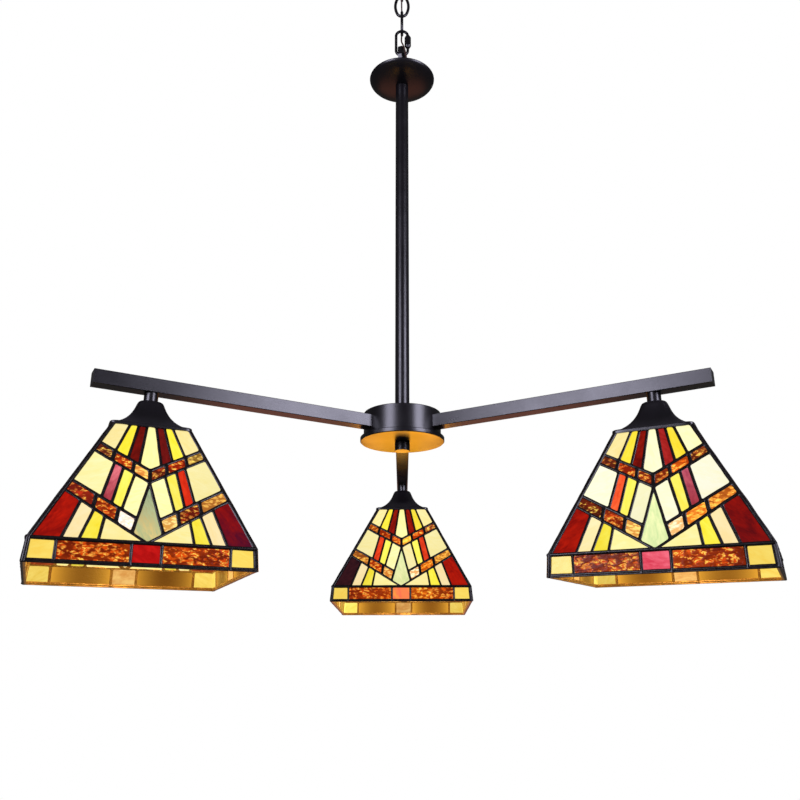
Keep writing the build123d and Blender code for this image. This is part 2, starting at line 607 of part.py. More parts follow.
def kite_side(chevron):
    """Where the side of the middle kite crosses a chevron."""
    u = KITE_SPREAD * (chevron.depth - UPPER_LOW.depth) / (1 + KITE_SPREAD * chevron.rise)
    return chevron.at(u)


def half_cells():
    """The pieces of glass on one side of the middle, by colour."""
    corner_top, corner_foot = (PANEL_TOP_HALF, 0), (PANEL_FOOT_HALF, FOOT)
    return [
        ("red", [(5, 0), (14, 0), UPPER_TOP.at(23.8), UPPER_TOP.at(11.8)]),
        ("opal", [(14, 0), (23.5, 0), UPPER_TOP.at(37.5), UPPER_TOP.at(23.8)]),
        ("opal", [(23.5, 0), corner_top, UPPER_TOP.edge(), UPPER_TOP.at(37.5)]),
        ("amber", [UPPER_TOP.at(0), UPPER_TOP.at(17), UPPER_LOW.at(18.5), UPPER_LOW.at(0)]),
        ("amber", [UPPER_TOP.at(17), UPPER_TOP.at(38), UPPER_LOW.at(40.5), UPPER_LOW.at(18.5)]),
        ("amber", [UPPER_TOP.at(38), UPPER_TOP.edge(), UPPER_LOW.edge(), UPPER_LOW.at(40.5)]),
        ("opal", [UPPER_LOW.at(0), UPPER_LOW.at(16), LOWER_TOP.at(27), kite_side(LOWER_TOP)]),
        ("opal", [UPPER_LOW.at(16), UPPER_LOW.at(28), LOWER_TOP.at(37.5), LOWER_TOP.at(27)]),
        ("red", [UPPER_LOW.at(28), UPPER_LOW.at(37.5), LOWER_TOP.at(48), LOWER_TOP.at(37.5)]),
        ("opal", [UPPER_LOW.at(37.5), UPPER_LOW.edge(), LOWER_TOP.edge(), LOWER_TOP.at(48)]),
        ("amber", [kite_side(LOWER_TOP), LOWER_TOP.at(30), LOWER_LOW.at(32), kite_side(LOWER_LOW)]),
        ("amber", [LOWER_TOP.at(30), LOWER_TOP.at(53), LOWER_LOW.at(55.5), LOWER_LOW.at(32)]),
        ("amber", [LOWER_TOP.at(53), LOWER_TOP.edge(), LOWER_LOW.edge(), LOWER_LOW.at(55.5)]),
        ("opal", [LOWER_LOW.at(0), LOWER_LOW.at(43), (47.5, FOOT)]),
        ("opal", [LOWER_LOW.at(43), LOWER_LOW.at(54), (65.8, FOOT), (47.5, FOOT)]),
        ("opal", [LOWER_LOW.at(54), LOWER_LOW.at(67.5), (82.5, FOOT), (65.8, FOOT)]),
        ("red", [LOWER_LOW.at(67.5), LOWER_LOW.edge(), corner_foot, (82.5, FOOT)]),
    ]


def mirrored(points):
    return [(-u, v) for u, v in points]


def panel_cells():
    """Every piece of one panel as a colour and its outline between solder line centres."""
    cells = [("opal", [(-5, 0), (5, 0), UPPER_TOP.at(11.8), UPPER_TOP.at(0),
                       mirrored([UPPER_TOP.at(11.8)])[0]]),
             ("opal", [UPPER_LOW.at(0), kite_side(LOWER_LOW), LOWER_LOW.at(0),
                       mirrored([kite_side(LOWER_LOW)])[0]])]
    for colour, points in half_cells():
        cells += [(colour, points), (colour, mirrored(points))]
    return cells


def band_cells():
    """Every piece of the upright band under one panel."""
    cells = [("red", [(-15, 0), (15, 0), (15, BAND_HEIGHT), (-15, BAND_HEIGHT)])]
    for outline, colour in (([(15, 0), (86, 0), (86, BAND_HEIGHT), (15, BAND_HEIGHT)], "amber"),
                            ([(86, 0), (PANEL_FOOT_HALF, 0), (BAND_FOOT_HALF, BAND_HEIGHT),
                              (86, BAND_HEIGHT)], "opal")):
        cells += [(colour, outline), (colour, mirrored(outline))]
    return cells


def is_hip(a, b, half_at):
    """True for an outline edge that lies along a corner of the shade."""
    return all(abs(abs(u) - half_at(v)) < 0.01 for u, v in (a, b))


def inset(points, half_at):
    """The outline of the glass: every edge moved inwards by the width of the solder on it."""
    area = sum(a[0] * b[1] - b[0] * a[1] for a, b in zip(points, points[1:] + points[:1]))
    if area < 0:
        points = points[::-1]
    lines = []
    for a, b in zip(points, points[1:] + points[:1]):
        length = hypot(b[0] - a[0], b[1] - a[1])
        normal = (-(b[1] - a[1]) / length, (b[0] - a[0]) / length)
        shift = HIP_BEAD if is_hip(a, b, half_at) else BEAD_HALF
        lines.append((normal, normal[0] * a[0] + normal[1] * a[1] + shift))
    corners = []
    for (n1, c1), (n2, c2) in zip(lines[-1:] + lines[:-1], lines):
        det = n1[0] * n2[1] - n1[1] * n2[0]
        corners.append(((c1 * n2[1] - c2 * n1[1]) / det, (n1[0] * c2 - n2[0] * c1) / det))
    return corners


def band_half(v):
    return PANEL_FOOT_HALF + (BAND_FOOT_HALF - PANEL_FOOT_HALF) * v / BAND_HEIGHT


def side_plane(top_half, top_z, lean):
    """Outer face of the front side: x is across, y is down the side and z points inwards."""
    return Plane(origin=(0, -top_half, top_z), x_dir=(1, 0, 0), z_dir=(0, cos(lean), -sin(lean)))


FRONT_PANEL = side_plane(PANEL_TOP_HALF, PANEL_TOP, PANEL_LEAN)
FRONT_BAND = side_plane(PANEL_FOOT_HALF, PANEL_FOOT, BAND_LEAN)
SIDES = ((FRONT_PANEL, panel_cells(), edge_half, PANEL_TOP_HALF, PANEL_TOP, PANEL_FOOT_HALF, PANEL_FOOT,
          PANEL_LEAN), (FRONT_BAND, band_cells(), band_half, PANEL_FOOT_HALF, PANEL_FOOT - 0.1,
                        BAND_FOOT_HALF, BAND_FOOT, BAND_LEAN))

with BuildPart() as side_lattice:
    for plane, cells, half_at, top_half, top_z, foot_half, foot_z, lean in SIDES:
        depth = SHADE_THICK / cos(lean)
        with BuildSketch(Plane.YZ):
            Polygon((-top_half, top_z), (-foot_half, foot_z), (depth - foot_half, foot_z),
                    (depth - top_half, top_z), align=None)
        extrude(amount=BAND_FOOT_HALF + 5, both=True)
    for turn in (45, 135):
        # mitre along the corners, a hair short of the next side
        mitre = Plane(origin=(0, -0.1, 0), x_dir=(cos(radians(turn)), sin(radians(turn)), 0),
                      z_dir=(-sin(radians(turn)), cos(radians(turn)), 0))
        split(bisect_by=mitre, keep=Keep.BOTTOM if turn == 45 else Keep.TOP)
    for plane, cells, half_at, *_ in SIDES:
        with BuildSketch(plane):
            for _, outline in cells:
                Polygon(*inset(outline, half_at), align=None)
        extrude(amount=SHADE_THICK + 1, mode=Mode.SUBTRACT)
        with BuildSketch(plane.offset(-1)):
            for _, outline in cells:
                Polygon(*inset(outline, half_at), align=None)
        extrude(amount=2, mode=Mode.SUBTRACT)

SIDE_GLASS = {}
for glass in ("opal", "red", "amber"):
    with BuildPart() as side_glass:
        for plane, cells, half_at, *_ in SIDES:
            with BuildSketch(plane.offset((SHADE_THICK - GLASS_THICK) / 2)):
                for colour, outline in cells:
                    if colour == glass:
                        Polygon(*inset(outline, half_at), align=None)
            extrude(amount=GLASS_THICK)
    SIDE_GLASS[glass] = side_glass.part

for head_name, head in HEADS.items():
    x, y = polar(STEM_RADIUS, head["azimuth"], 0)[:2]
    shade_frame = (Location((x, y, level(CAP_LEVEL)), (head["lean"][0], head["lean"][1], 0))
                   * Location((0, 0, 0), (0, 0, head["turn"])))
    with BuildPart() as shade_cap:
        with Locations(shade_frame):
            add(cap_shape.part)
    save(shade_cap, f"shade_cap_{head_name}")
    with BuildPart() as shade_lattice:
        for quarter in range(4):
            with Locations(shade_frame * Location((0, 0, 0), (0, 0, 90 * quarter))):
                add(side_lattice.part)
    save(shade_lattice, f"shade_lattice_{head_name}")
    for glass, pieces in SIDE_GLASS.items():
        with BuildPart() as shade_glass:
            for quarter in range(4):
                with Locations(shade_frame * Location((0, 0, 0), (0, 0, 90 * quarter))):
                    add(pieces)
        save(shade_glass, f"{glass}_glass_{head_name}")
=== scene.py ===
"""How the three-shade pool table lamp looks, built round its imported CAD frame.

Metres, in the frame of the CAD part: the origin is on the ceiling and +Z is up.  Lengths are
written in millimetres and scaled by MM.  Heights inside the lamp are measured up from the hub's
underside, see level().
"""
import json
import math
import random

import bmesh
import bpy
from mathutils import Matrix, Vector, noise


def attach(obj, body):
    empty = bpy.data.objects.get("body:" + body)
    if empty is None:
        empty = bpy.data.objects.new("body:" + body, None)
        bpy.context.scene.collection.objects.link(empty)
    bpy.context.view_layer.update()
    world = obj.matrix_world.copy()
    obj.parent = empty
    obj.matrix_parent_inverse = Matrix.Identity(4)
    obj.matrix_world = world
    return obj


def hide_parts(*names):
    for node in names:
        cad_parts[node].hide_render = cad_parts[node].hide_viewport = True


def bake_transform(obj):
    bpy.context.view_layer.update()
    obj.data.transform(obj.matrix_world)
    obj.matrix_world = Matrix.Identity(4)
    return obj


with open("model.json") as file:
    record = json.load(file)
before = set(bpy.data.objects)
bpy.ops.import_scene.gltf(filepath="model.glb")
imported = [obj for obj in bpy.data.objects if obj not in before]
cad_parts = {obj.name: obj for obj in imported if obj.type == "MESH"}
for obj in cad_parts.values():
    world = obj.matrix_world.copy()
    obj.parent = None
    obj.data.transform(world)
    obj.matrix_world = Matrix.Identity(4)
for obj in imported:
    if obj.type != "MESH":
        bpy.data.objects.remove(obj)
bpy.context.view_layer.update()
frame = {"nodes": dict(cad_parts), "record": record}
NODES = frame["nodes"]

MM = 0.001
DROP = 884.0                 # ceiling to the hub's underside

# shade, in its own frame below the top of its cap
CAP_LEVEL, STEM_RADIUS = 1.5, 354.0
PANEL_TOP, PANEL_TOP_HALF = -41.3, 43.7
PANEL_FOOT, PANEL_FOOT_HALF = -185.5, 113.3
BAND_FOOT, BAND_FOOT_HALF = -209.2, 115.0
HEADS = {
    "left": dict(azimuth=210.0, turn=23.8, lean=(-0.6, -0.2)),
    "right": dict(azimuth=330.0, turn=-25.9, lean=(1.8, -0.8)),
    "back": dict(azimuth=90.0, turn=-1.1, lean=(-2.2, 0.0)),
}
PANEL_SLANT = math.hypot(PANEL_TOP - PANEL_FOOT, PANEL_FOOT_HALF - PANEL_TOP_HALF)
BAND_HEIGHT = math.hypot(PANEL_FOOT - BAND_FOOT, BAND_FOOT_HALF - PANEL_FOOT_HALF)


def level(height):
    """Z of a height above the hub's underside, in millimetres."""
    return height - DROP


def point(x, y, height):
    """A place in the part's frame, from millimetres and a height above the hub's underside."""
    return Vector((x, y, level(height))) * MM


# ------------------------------------------------------------------ camera, then the cord
CAMERA_DISTANCE, CAMERA_HEIGHT = 1105.0, -299.5
CAMERA_PAN, CAMERA_TILT = 0.17, 18.2         # degrees to the left, and up
SENSOR_WIDTH, FOCAL_LENGTH = 36.0, 36.09


def make_camera():
    """The camera, fitted to the photo: in front of the lamp, looking up at it."""
    data = bpy.data.cameras.new("camera")
    data.sensor_width, data.lens = SENSOR_WIDTH, FOCAL_LENGTH
    data.clip_start, data.clip_end = 0.05, 50.0
    camera = bpy.data.objects.new("camera", data)
    turn = (Matrix.Rotation(math.radians(CAMERA_PAN), 4, "Z")
            @ Matrix.Rotation(math.radians(90 + CAMERA_TILT), 4, "X"))
    camera.matrix_world = Matrix.Translation(point(0, -CAMERA_DISTANCE, CAMERA_HEIGHT)) @ turn
    bpy.context.scene.collection.objects.link(camera)
    bpy.context.scene.camera = camera


SHARP_ANGLE = math.radians(38)


def new_object(name, bm, material, body=None):
    """A finished mesh, smooth except at its sharp edges."""
    bmesh.ops.recalc_face_normals(bm, faces=bm.faces)
    for face in bm.faces:
        face.smooth = True
    for edge in bm.edges:
        edge.smooth = len(edge.link_faces) == 2 and edge.calc_face_angle(0) < SHARP_ANGLE
    mesh = bpy.data.meshes.new(name)
    bm.to_mesh(mesh)
    bm.free()
    mesh.materials.append(material)
    piece = bpy.data.objects.new(name, mesh)
    bpy.context.scene.collection.objects.link(piece)
    if body:
        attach(piece, body)
    return piece


def frames_along(points):
    """A right-handed frame at each point of a path, turning as little as it can."""
    tangents = [(after - before).normalized()
                for before, after in zip(points[:1] + points[:-1], points[1:] + points[-1:])]
    side = tangents[0].orthogonal().normalized()
    frames = []
    for tangent in tangents:
        side = (side - tangent * side.dot(tangent)).normalized()
        frames.append((side, tangent.cross(side)))
    return frames


def add_tube(bm, points, radii, sides=12):
    """A round tube along points, with a radius for each point."""
    rings = []
    for here, radius, (side, up) in zip(points, radii, frames_along(points)):
        ring = []
        for k in range(sides):
            angle = 2 * math.pi * k / sides
            out = side * math.cos(angle) + up * math.sin(angle)
            ring.append(bm.verts.new(here + out * radius))
        rings.append(ring)
    for one, two in zip(rings, rings[1:]):
        for k in range(sides):
            bm.faces.new((one[k], one[(k + 1) % sides], two[(k + 1) % sides], two[k]))
    bm.faces.new(rings[0][::-1])
    bm.faces.new(rings[-1])


CORD_R = 1.3
GLAND = (9.0, -20.0)
SUPPLY_ROUTE = [point(*p) for p in (
    (GLAND[0], GLAND[1], DROP - 10.1),
    (GLAND[0] + 0.2, GLAND[1] - 0.1, DROP - 24.0),
    (GLAND[0] - 0.4, GLAND[1] + 0.3, DROP - 39.0),
    (4.0, -18.0, 831.0),
    (0.0, -16.2, 813.0),
    (-0.5, -13.5, 794.0),
    (-0.5, 0.0, 779.0),
    (0.3, 13.5, 764.0),
    (0.3, 16.4, 743.0),
    (-0.8, 12.8, 724.0),
    (-0.9, 4.0, 712.0),
    (-0.6, -3.0, 701.0),
    (1.6, -7.4, 692.5),
    (4.2, -7.7, 684.0),
    (6.4, -7.0, 674.0),
    (7.6, -7.2, 662.5),
    (3.6, -3.6, 646.0),
    (0.0, 0.0, 636.0),
    (0.0, 0.0, 625.0),
)]
# the cord bends where two links meet: bodies above and below, and the height of the joint
CORD_JOINTS = (
    ("ceiling_fitting", "top_link", 832.4),
    ("top_link", "middle_link", 795.9),
    ("middle_link", "bottom_link", 758.8),
    ("bottom_link", "quick_link", 721.7),
    ("quick_link", "lamp", 676.3),
)
CORD_CUTS = (817.0, 779.9, 742.8, 701.5)     # the middles of the links


def nurbs_line(points):
    """The points that a smooth spline with these control points runs through."""
    curve = bpy.data.curves.new("route", "CURVE")
    curve.dimensions = "3D"
    spline = curve.splines.new("NURBS")
    spline.points.add(len(points) - 1)
    for control, place in zip(spline.points, points):
        control.co = (*place, 1)
    spline.order_u = 3
    spline.use_endpoint_u = True
    curve.resolution_u = 8
    holder = bpy.data.objects.new("route", curve)
    mesh = bpy.data.meshes.new_from_object(holder)
    line = [v.co.copy() for v in mesh.vertices]
    bpy.data.meshes.remove(mesh)
    bpy.data.objects.remove(holder)
    return line


def make_supply_cord(material):
    """The cord woven through the chain, in pieces that meet at the middles of the links."""
    line = nurbs_line(SUPPLY_ROUTE)
    cuts = [level(c) * MM for c in CORD_CUTS]
    parts, part = [], []
    for here in line:
        part.append(here)
        if cuts and here.z <= cuts[0]:
            cuts.pop(0)
            parts.append(part)
            part = [here]
    parts.append(part)
    for i, (path, (above, below, joint)) in enumerate(zip(parts, CORD_JOINTS)):
        bm = bmesh.new()
        add_tube(bm, path, [CORD_R * MM] * len(path), sides=16)
        piece = new_object(f"supply_cord_{i + 1}", bm, material)
        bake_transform(piece)
        if i == 0:
            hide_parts("supply_cord")


# ------------------------------------------------------------------ materials
def srgb(red, green, blue):
    """Linear colour of three display values from 0 to 255."""
    def linear(v):
        v /= 255
        return v / 12.92 if v <= 0.04045 else ((v + 0.055) / 1.055) ** 2.4
    return (linear(red), linear(green), linear(blue), 1.0)


class Nodes:
    """Short calls for building one material."""

    def __init__(self, name):
        self.material = bpy.data.materials.new(name)
        self.material.use_nodes = True
        self.tree = self.material.node_tree
        self.shader = self.tree.nodes["Principled BSDF"]

    def node(self, kind, inputs=(), **settings):
        made = self.tree.nodes.new(kind)
        for key, value in settings.items():
            setattr(made, key, value)
        for socket, value in dict(inputs).items():
            if isinstance(value, bpy.types.NodeSocket):
                self.tree.links.new(value, made.inputs[socket])
            else:
                made.inputs[socket].default_value = value
        return made

    def set(self, **sockets):
        for key, value in sockets.items():
            socket = self.shader.inputs[key.replace("_", " ")]
            if isinstance(value, bpy.types.NodeSocket):
                self.tree.links.new(value, socket)
            else:
                socket.default_value = value

    def place(self):
        return self.node("ShaderNodeTexCoord").outputs["Object"]

    def attribute(self, name, output):
        return self.node("ShaderNodeAttribute", attribute_name=name).outputs[output]

    def stretched(self, vector, scale):
        return self.node("ShaderNodeMapping", {"Vector": vector, "Scale": scale}).outputs["Vector"]

    def noise(self, vector, scale, detail=3.0, roughness=0.5, distortion=0.0):
        inputs = {"Vector": vector, "Scale": scale, "Detail": detail, "Roughness": roughness,
                  "Distortion": distortion}
        return self.node("ShaderNodeTexNoise", inputs).outputs["Fac"]

    def ramp(self, value, low, high, to_low=0.0, to_high=1.0):
        return self.node("ShaderNodeMapRange", {"Value": value, "From Min": low, "From Max": high,
                                                "To Min": to_low, "To Max": to_high}).outputs["Result"]

    def calc(self, operation, *values, clamp=False):
        """A sum, product or other plain arithmetic of values and sockets."""
        return self.node("ShaderNodeMath", dict(enumerate(values)), operation=operation,
                         use_clamp=clamp).outputs[0]

    def mix(self, factor, one, two):
        """From colour one to colour two as the factor goes from 0 to 1."""
        made = self.node("ShaderNodeMix", data_type="RGBA")
        for index, value in ((0, factor), (6, one), (7, two)):
            if isinstance(value, bpy.types.NodeSocket):
                self.tree.links.new(value, made.inputs[index])
            else:
                made.inputs[index].default_value = value
        return made.outputs[2]

    def bump(self, height, strength, distance):
        inputs = {"Height": height, "Strength": strength, "Distance": distance}
        return self.node("ShaderNodeBump", inputs).outputs["Normal"]


def enamel():
    """Satin black baked enamel: a faint orange peel, soft smudges and a warm-violet cast."""
    n = Nodes("black_enamel")
    at = n.place()
    mottle = n.noise(at, 45, 4)
    peel = n.noise(at, 900, 2)
    smudge = n.noise(at, 16, 5, 0.6)
    # painted top light: the faces that look up are painted a lighter grey, and made rougher and less glossy
    normal = n.node("ShaderNodeTexCoord").outputs["Normal"]
    upward = n.node("ShaderNodeSeparateXYZ", {0: normal}).outputs["Z"]
    facing_up = n.ramp(upward, 0.6, 0.92)
    base_black = n.mix(n.ramp(mottle, 0.3, 0.7), srgb(7, 5, 9), srgb(14, 11, 16))
    # painted top light: a lighter grey for the faces that look up
    painted_top_light = n.mix(n.ramp(smudge, 0.3, 0.7), srgb(24, 22, 24), srgb(44, 42, 44))
    sheen = n.ramp(smudge, 0.3, 0.75, 0.26, 0.36)
    n.set(Base_Color=n.mix(facing_up, base_black, painted_top_light), Roughness=n.calc("MULTIPLY_ADD", facing_up, 0.4, sheen),
          Metallic=0.0, Specular_IOR_Level=n.ramp(facing_up, 0.0, 1.0, 0.55, 0.08),
          Normal=n.bump(peel, 0.02, 0.0002))
    return n.material


def patina():
    """Dark-patinated solder: lumpy and nearly black outside; inside the shade it is painted bronze with a
    faint glow, a painted light of the bulb shining on it.
    """
    n = Nodes("solder_patina")
    at = n.place()
    inner = n.attribute("inner", "Fac")
    tone = n.noise(at, 60, 5, 0.6)
    lumps = n.noise(at, 260, 3)
    dark = n.mix(n.ramp(tone, 0.35, 0.75), srgb(9, 6, 7), srgb(26, 18, 18))
    # painted bulb light: a bronze colour for the solder inside the shade, where the bulb shines on it
    painted_bulb_light = n.mix(n.ramp(tone, 0.3, 0.7), srgb(116, 72, 26), srgb(196, 142, 66))
    n.set(Base_Color=n.mix(inner, dark, painted_bulb_light), Metallic=n.ramp(inner, 0.0, 1.0, 0.15, 0.7),
          Specular_IOR_Level=0.4, Roughness=n.ramp(lumps, 0.3, 0.7, 0.24, 0.42),
          # painted bulb light: the inner solder glows faintly, though it is no lamp
          Emission_Color=n.mix(tone, srgb(168, 106, 34), srgb(222, 164, 72)),
          Emission_Strength=n.ramp(inner, 0.0, 1.0, 0.0, 0.22),
          Normal=n.bump(lumps, 0.3, 0.0004))
    return n.material


def zinc():
    """Zinc-plated steel with a fine spangle."""
    n = Nodes("zinc_plate")
    at = n.place()
    grain = n.noise(at, 300, 4)
    n.set(Base_Color=n.mix(n.ramp(grain, 0.3, 0.7), srgb(150, 152, 156), srgb(190, 190, 188)),
          Metallic=1.0, Roughness=n.ramp(grain, 0.2, 0.8, 0.28, 0.45), Normal=n.bump(grain, 0.1, 0.0002))
    return n.material


def plain(name, dark, light, scale, rough, bump, metallic=0.0):
    """A moulded or spun material with a fine mottle."""
    n = Nodes(name)
    at = n.place()
    tone = n.noise(at, scale, 4)
    n.set(Base_Color=n.mix(n.ramp(tone, 0.3, 0.7), dark, light), Metallic=metallic,
          Roughness=n.ramp(tone, 0.2, 0.8, rough - 0.06, rough + 0.06),
          Normal=n.bump(n.noise(at, scale * 4, 2), bump, 0.0003))
    return n.material


def hammered_glass(n, one, two, grain, swirl, inner, hammer):
    """Colour and relief of hammered sheet; hammer is how many dimples there are in a metre."""
    wander = n.node("ShaderNodeTexNoise", {"Vector": grain, "Scale": 300.0, "Detail": 3.0}).outputs["Color"]
    pull = n.node("ShaderNodeVectorMath", {0: wander, "Scale": 0.006}, operation="SCALE").outputs[0]
    bent = n.node("ShaderNodeVectorMath", {0: grain, 1: pull}, operation="ADD").outputs[0]
    cells = n.node("ShaderNodeTexVoronoi", {"Vector": bent, "Scale": hammer, "Smoothness": 0.35},
                   feature="SMOOTH_F1").outputs["Distance"]
    deep = n.calc("ADD", n.ramp(cells, 0.30, 0.62), n.ramp(swirl, 0.36, 0.62, 0.30, -0.30), clamp=True)
    # thin crooked glints: where a fine noise crosses its middle, in the brighter parts of the sheet
    ridge = n.calc("ABSOLUTE", n.calc("SUBTRACT", n.noise(grain, 210, 3, 0.6, 0.9), 0.5))
    crooked = n.calc("MULTIPLY", n.ramp(ridge, 0.055, 0.014), n.ramp(cells, 0.56, 0.32))
    glint = n.calc("MULTIPLY", crooked, n.ramp(swirl, 0.40, 0.54, 0.25, 1.0), clamp=True)
    outside = n.mix(glint, n.mix(deep, one, two), n.mix(0.9, one, srgb(255, 218, 90)))
    # the near face, seen from inside, is clear glass with broad soft patches
    broad = n.ramp(n.noise(n.stretched(grain, (1.0, 0.5, 1.0)), 13, 2, 0.4, 0.3), 0.30, 0.66)
    return n.mix(inner, outside, n.mix(broad, one, two)), n.bump(cells, 0.45, 0.0010)


def rolled_glass(n, one, two, grain, swirl, along):
    """Colour and relief of smooth sheet, with streaks along its grain."""
    streaks = n.ramp(n.noise(along, 120, 4, 0.6, 0.4), 0.3, 0.7, -0.28, 0.28)
    blend = n.calc("ADD", n.ramp(swirl, 0.34, 0.66), streaks, clamp=True)
    return n.mix(blend, one, two), n.bump(n.noise(grain, 70, 2), 0.25, 0.0012)


def stained_glass(name, streak, hammer, gloss, glow, shine=0.25):
    """Sheet glass lit from inside.  Each pane carries its two colours and its own grain direction."""
    n = Nodes(name)
    one, two = n.attribute("tint_a", "Color"), n.attribute("tint_b", "Color")
    grain, lit = n.attribute("grain", "Vector"), n.attribute("lit", "Fac")
    along = n.stretched(grain, (1.0, streak, 1.0))
    swirl = n.noise(along, 30, 6, 0.62, 1.2)
    if hammer:
        inner = n.attribute("inner", "Fac")
        colour, relief = hammered_glass(n, one, two, grain, swirl, inner, hammer)
    else:
        colour, relief = rolled_glass(n, one, two, grain, swirl, along)
    n.set(Base_Color=n.mix(0.92, colour, srgb(10, 5, 3)), Roughness=gloss, IOR=1.5,
          Specular_IOR_Level=shine, Normal=relief, Emission_Color=colour,
          Emission_Strength=n.calc("MULTIPLY", lit, glow))
    return n.material


def glowing_bulb():
    """Frosted bulb, lit."""
    n = Nodes("bulb_frost")
    at = n.place()
    haze = n.noise(at, 90, 3)
    n.set(Base_Color=srgb(250, 244, 226), Roughness=n.ramp(haze, 0.3, 0.7, 0.3, 0.45), IOR=1.5,
          Emission_Color=n.mix(haze, srgb(255, 232, 190), srgb(255, 240, 210)), Emission_Strength=16.0,
          Normal=n.bump(haze, 0.05, 0.0005))
    return n.material


# ------------------------------------------------------------------ the shade's pattern
def edge_half(v):
    """Half the width of a slanted panel, v down from its top."""
    return PANEL_TOP_HALF + (PANEL_FOOT_HALF - PANEL_TOP_HALF) * v / PANEL_SLANT


def band_half(v):
    """Half the width of the upright band, v down from the fold."""
    return PANEL_FOOT_HALF + (BAND_FOOT_HALF - PANEL_FOOT_HALF) * v / BAND_HEIGHT


class Chevron:
    """A V-shaped solder line: its depth in the middle, and how fast it rises to the sides."""

    def __init__(self, depth, rise):
        self.depth, self.rise = depth, rise

    def at(self, u):
        return (u, self.depth - self.rise * u)

    def edge(self):
        spread = (PANEL_FOOT_HALF - PANEL_TOP_HALF) / PANEL_SLANT
        return self.at((PANEL_TOP_HALF + spread * self.depth) / (1 + spread * self.rise))


UPPER_TOP, UPPER_LOW = Chevron(65.0, 0.63), Chevron(82.0, 0.65)
LOWER_TOP, LOWER_LOW = Chevron(137.5, 0.66), Chevron(PANEL_SLANT, 0.715)
KITE_SPREAD = 0.233
FOOT = PANEL_SLANT


def kite_side(chevron):
    """Where the side of the kite in the middle meets a chevron."""
    below = chevron.depth - UPPER_LOW.depth
    return chevron.at(KITE_SPREAD * below / (1 + KITE_SPREAD * chevron.rise))


def half_cells():
    """The pieces on one side of the middle: which piece, its glass and its outline."""
    upper, upper_low, lower, lower_low = UPPER_TOP, UPPER_LOW, LOWER_TOP, LOWER_LOW
    corner_top, corner_foot = (PANEL_TOP_HALF, 0), (PANEL_FOOT_HALF, FOOT)
    return [
        ("top_red", "red", [(5, 0), (14, 0), upper.at(23.8), upper.at(11.8)]),
        ("top_yellow", "opal", [(14, 0), (23.5, 0), upper.at(37.5), upper.at(23.8)]),
        ("top_cream", "opal", [(23.5, 0), corner_top, upper.edge(), upper.at(37.5)]),
        ("v1_inner", "amber", [upper.at(0), upper.at(17), upper_low.at(18.5), upper_low.at(0)]),
        ("v1_middle", "amber", [upper.at(17), upper.at(38), upper_low.at(40.5), upper_low.at(18.5)]),
        ("v1_outer", "amber", [upper.at(38), upper.edge(), upper_low.edge(), upper_low.at(40.5)]),
        ("mid_cream", "opal", [upper_low.at(0), upper_low.at(16), lower.at(27), kite_side(lower)]),
        ("mid_yellow", "opal", [upper_low.at(16), upper_low.at(28), lower.at(37.5), lower.at(27)]),
        ("mid_red", "red", [upper_low.at(28), upper_low.at(37.5), lower.at(48), lower.at(37.5)]),
        ("mid_outer", "opal", [upper_low.at(37.5), upper_low.edge(), lower.edge(), lower.at(48)]),
        ("v2_inner", "amber", [kite_side(lower), lower.at(30), lower_low.at(32), kite_side(lower_low)]),
        ("v2_middle", "amber", [lower.at(30), lower.at(53), lower_low.at(55.5), lower_low.at(32)]),
        ("v2_outer", "amber", [lower.at(53), lower.edge(), lower_low.edge(), lower_low.at(55.5)]),
        ("low_cream", "opal", [lower_low.at(0), lower_low.at(43), (47.5, FOOT)]),
        ("low_yellow", "opal", [lower_low.at(43), lower_low.at(54), (65.8, FOOT), (47.5, FOOT)]),
        ("low_blush", "opal", [lower_low.at(54), lower_low.at(67.5), (82.5, FOOT), (65.8, FOOT)]),
        ("low_ruby", "red", [lower_low.at(67.5), lower_low.edge(), corner_foot, (82.5, FOOT)]),
    ]


def mirrored(points):
    """The same outline on the other side of the middle."""
    return [(-u, v) for u, v in points]


def both_sides(halves):
    """Each piece to the right of the middle (1) and its mirror image to the left (-1)."""
    cells = []
    for key, glass, outline in halves:
        cells += [(key, glass, 1, outline), (key, glass, -1, mirrored(outline))]
    return cells


def panel_cells():
    """Every piece of a slanted panel: which it is, its glass, its side and its outline."""
    wedge, kite = [UPPER_TOP.at(11.8)], [kite_side(LOWER_LOW)]
    return [
        ("top_middle", "opal", 0, [(-5, 0), (5, 0), *wedge, UPPER_TOP.at(0), *mirrored(wedge)]),
        ("kite", "opal", 0, [UPPER_LOW.at(0), *kite, LOWER_LOW.at(0), *mirrored(kite)]),
    ] + both_sides(half_cells())


def band_cells():
    """Every piece of the upright band, in the same way."""
    middle, corner, low = 15, 86, BAND_HEIGHT
    return [("band_red", "red", 0, [(-middle, 0), (middle, 0), (middle, low), (-middle, low)])] + both_sides([
        ("band_amber", "amber", [(middle, 0), (corner, 0), (corner, low), (middle, low)]),
        ("band_corner", "opal", [(corner, 0), (PANEL_FOOT_HALF, 0), (BAND_FOOT_HALF, low), (corner, low)]),
    ])


def inset(points, widths):
    """The outline with every edge moved inwards by its width.  Points run anticlockwise."""
    lines = []
    for a, b, width in zip(points, points[1:] + points[:1], widths):
        length = math.hypot(b[0] - a[0], b[1] - a[1])
        nx, ny = -(b[1] - a[1]) / length, (b[0] - a[0]) / length
        lines.append((nx, ny, nx * a[0] + ny * a[1] + width))
    corners = []
    for (ax, ay, ac), (bx, by, bc) in zip(lines[-1:] + lines[:-1], lines):
        det = ax * by - ay * bx
        corners.append(((ac * by - bc * ay) / det, (ax * bc - bx * ac) / det))
    return corners


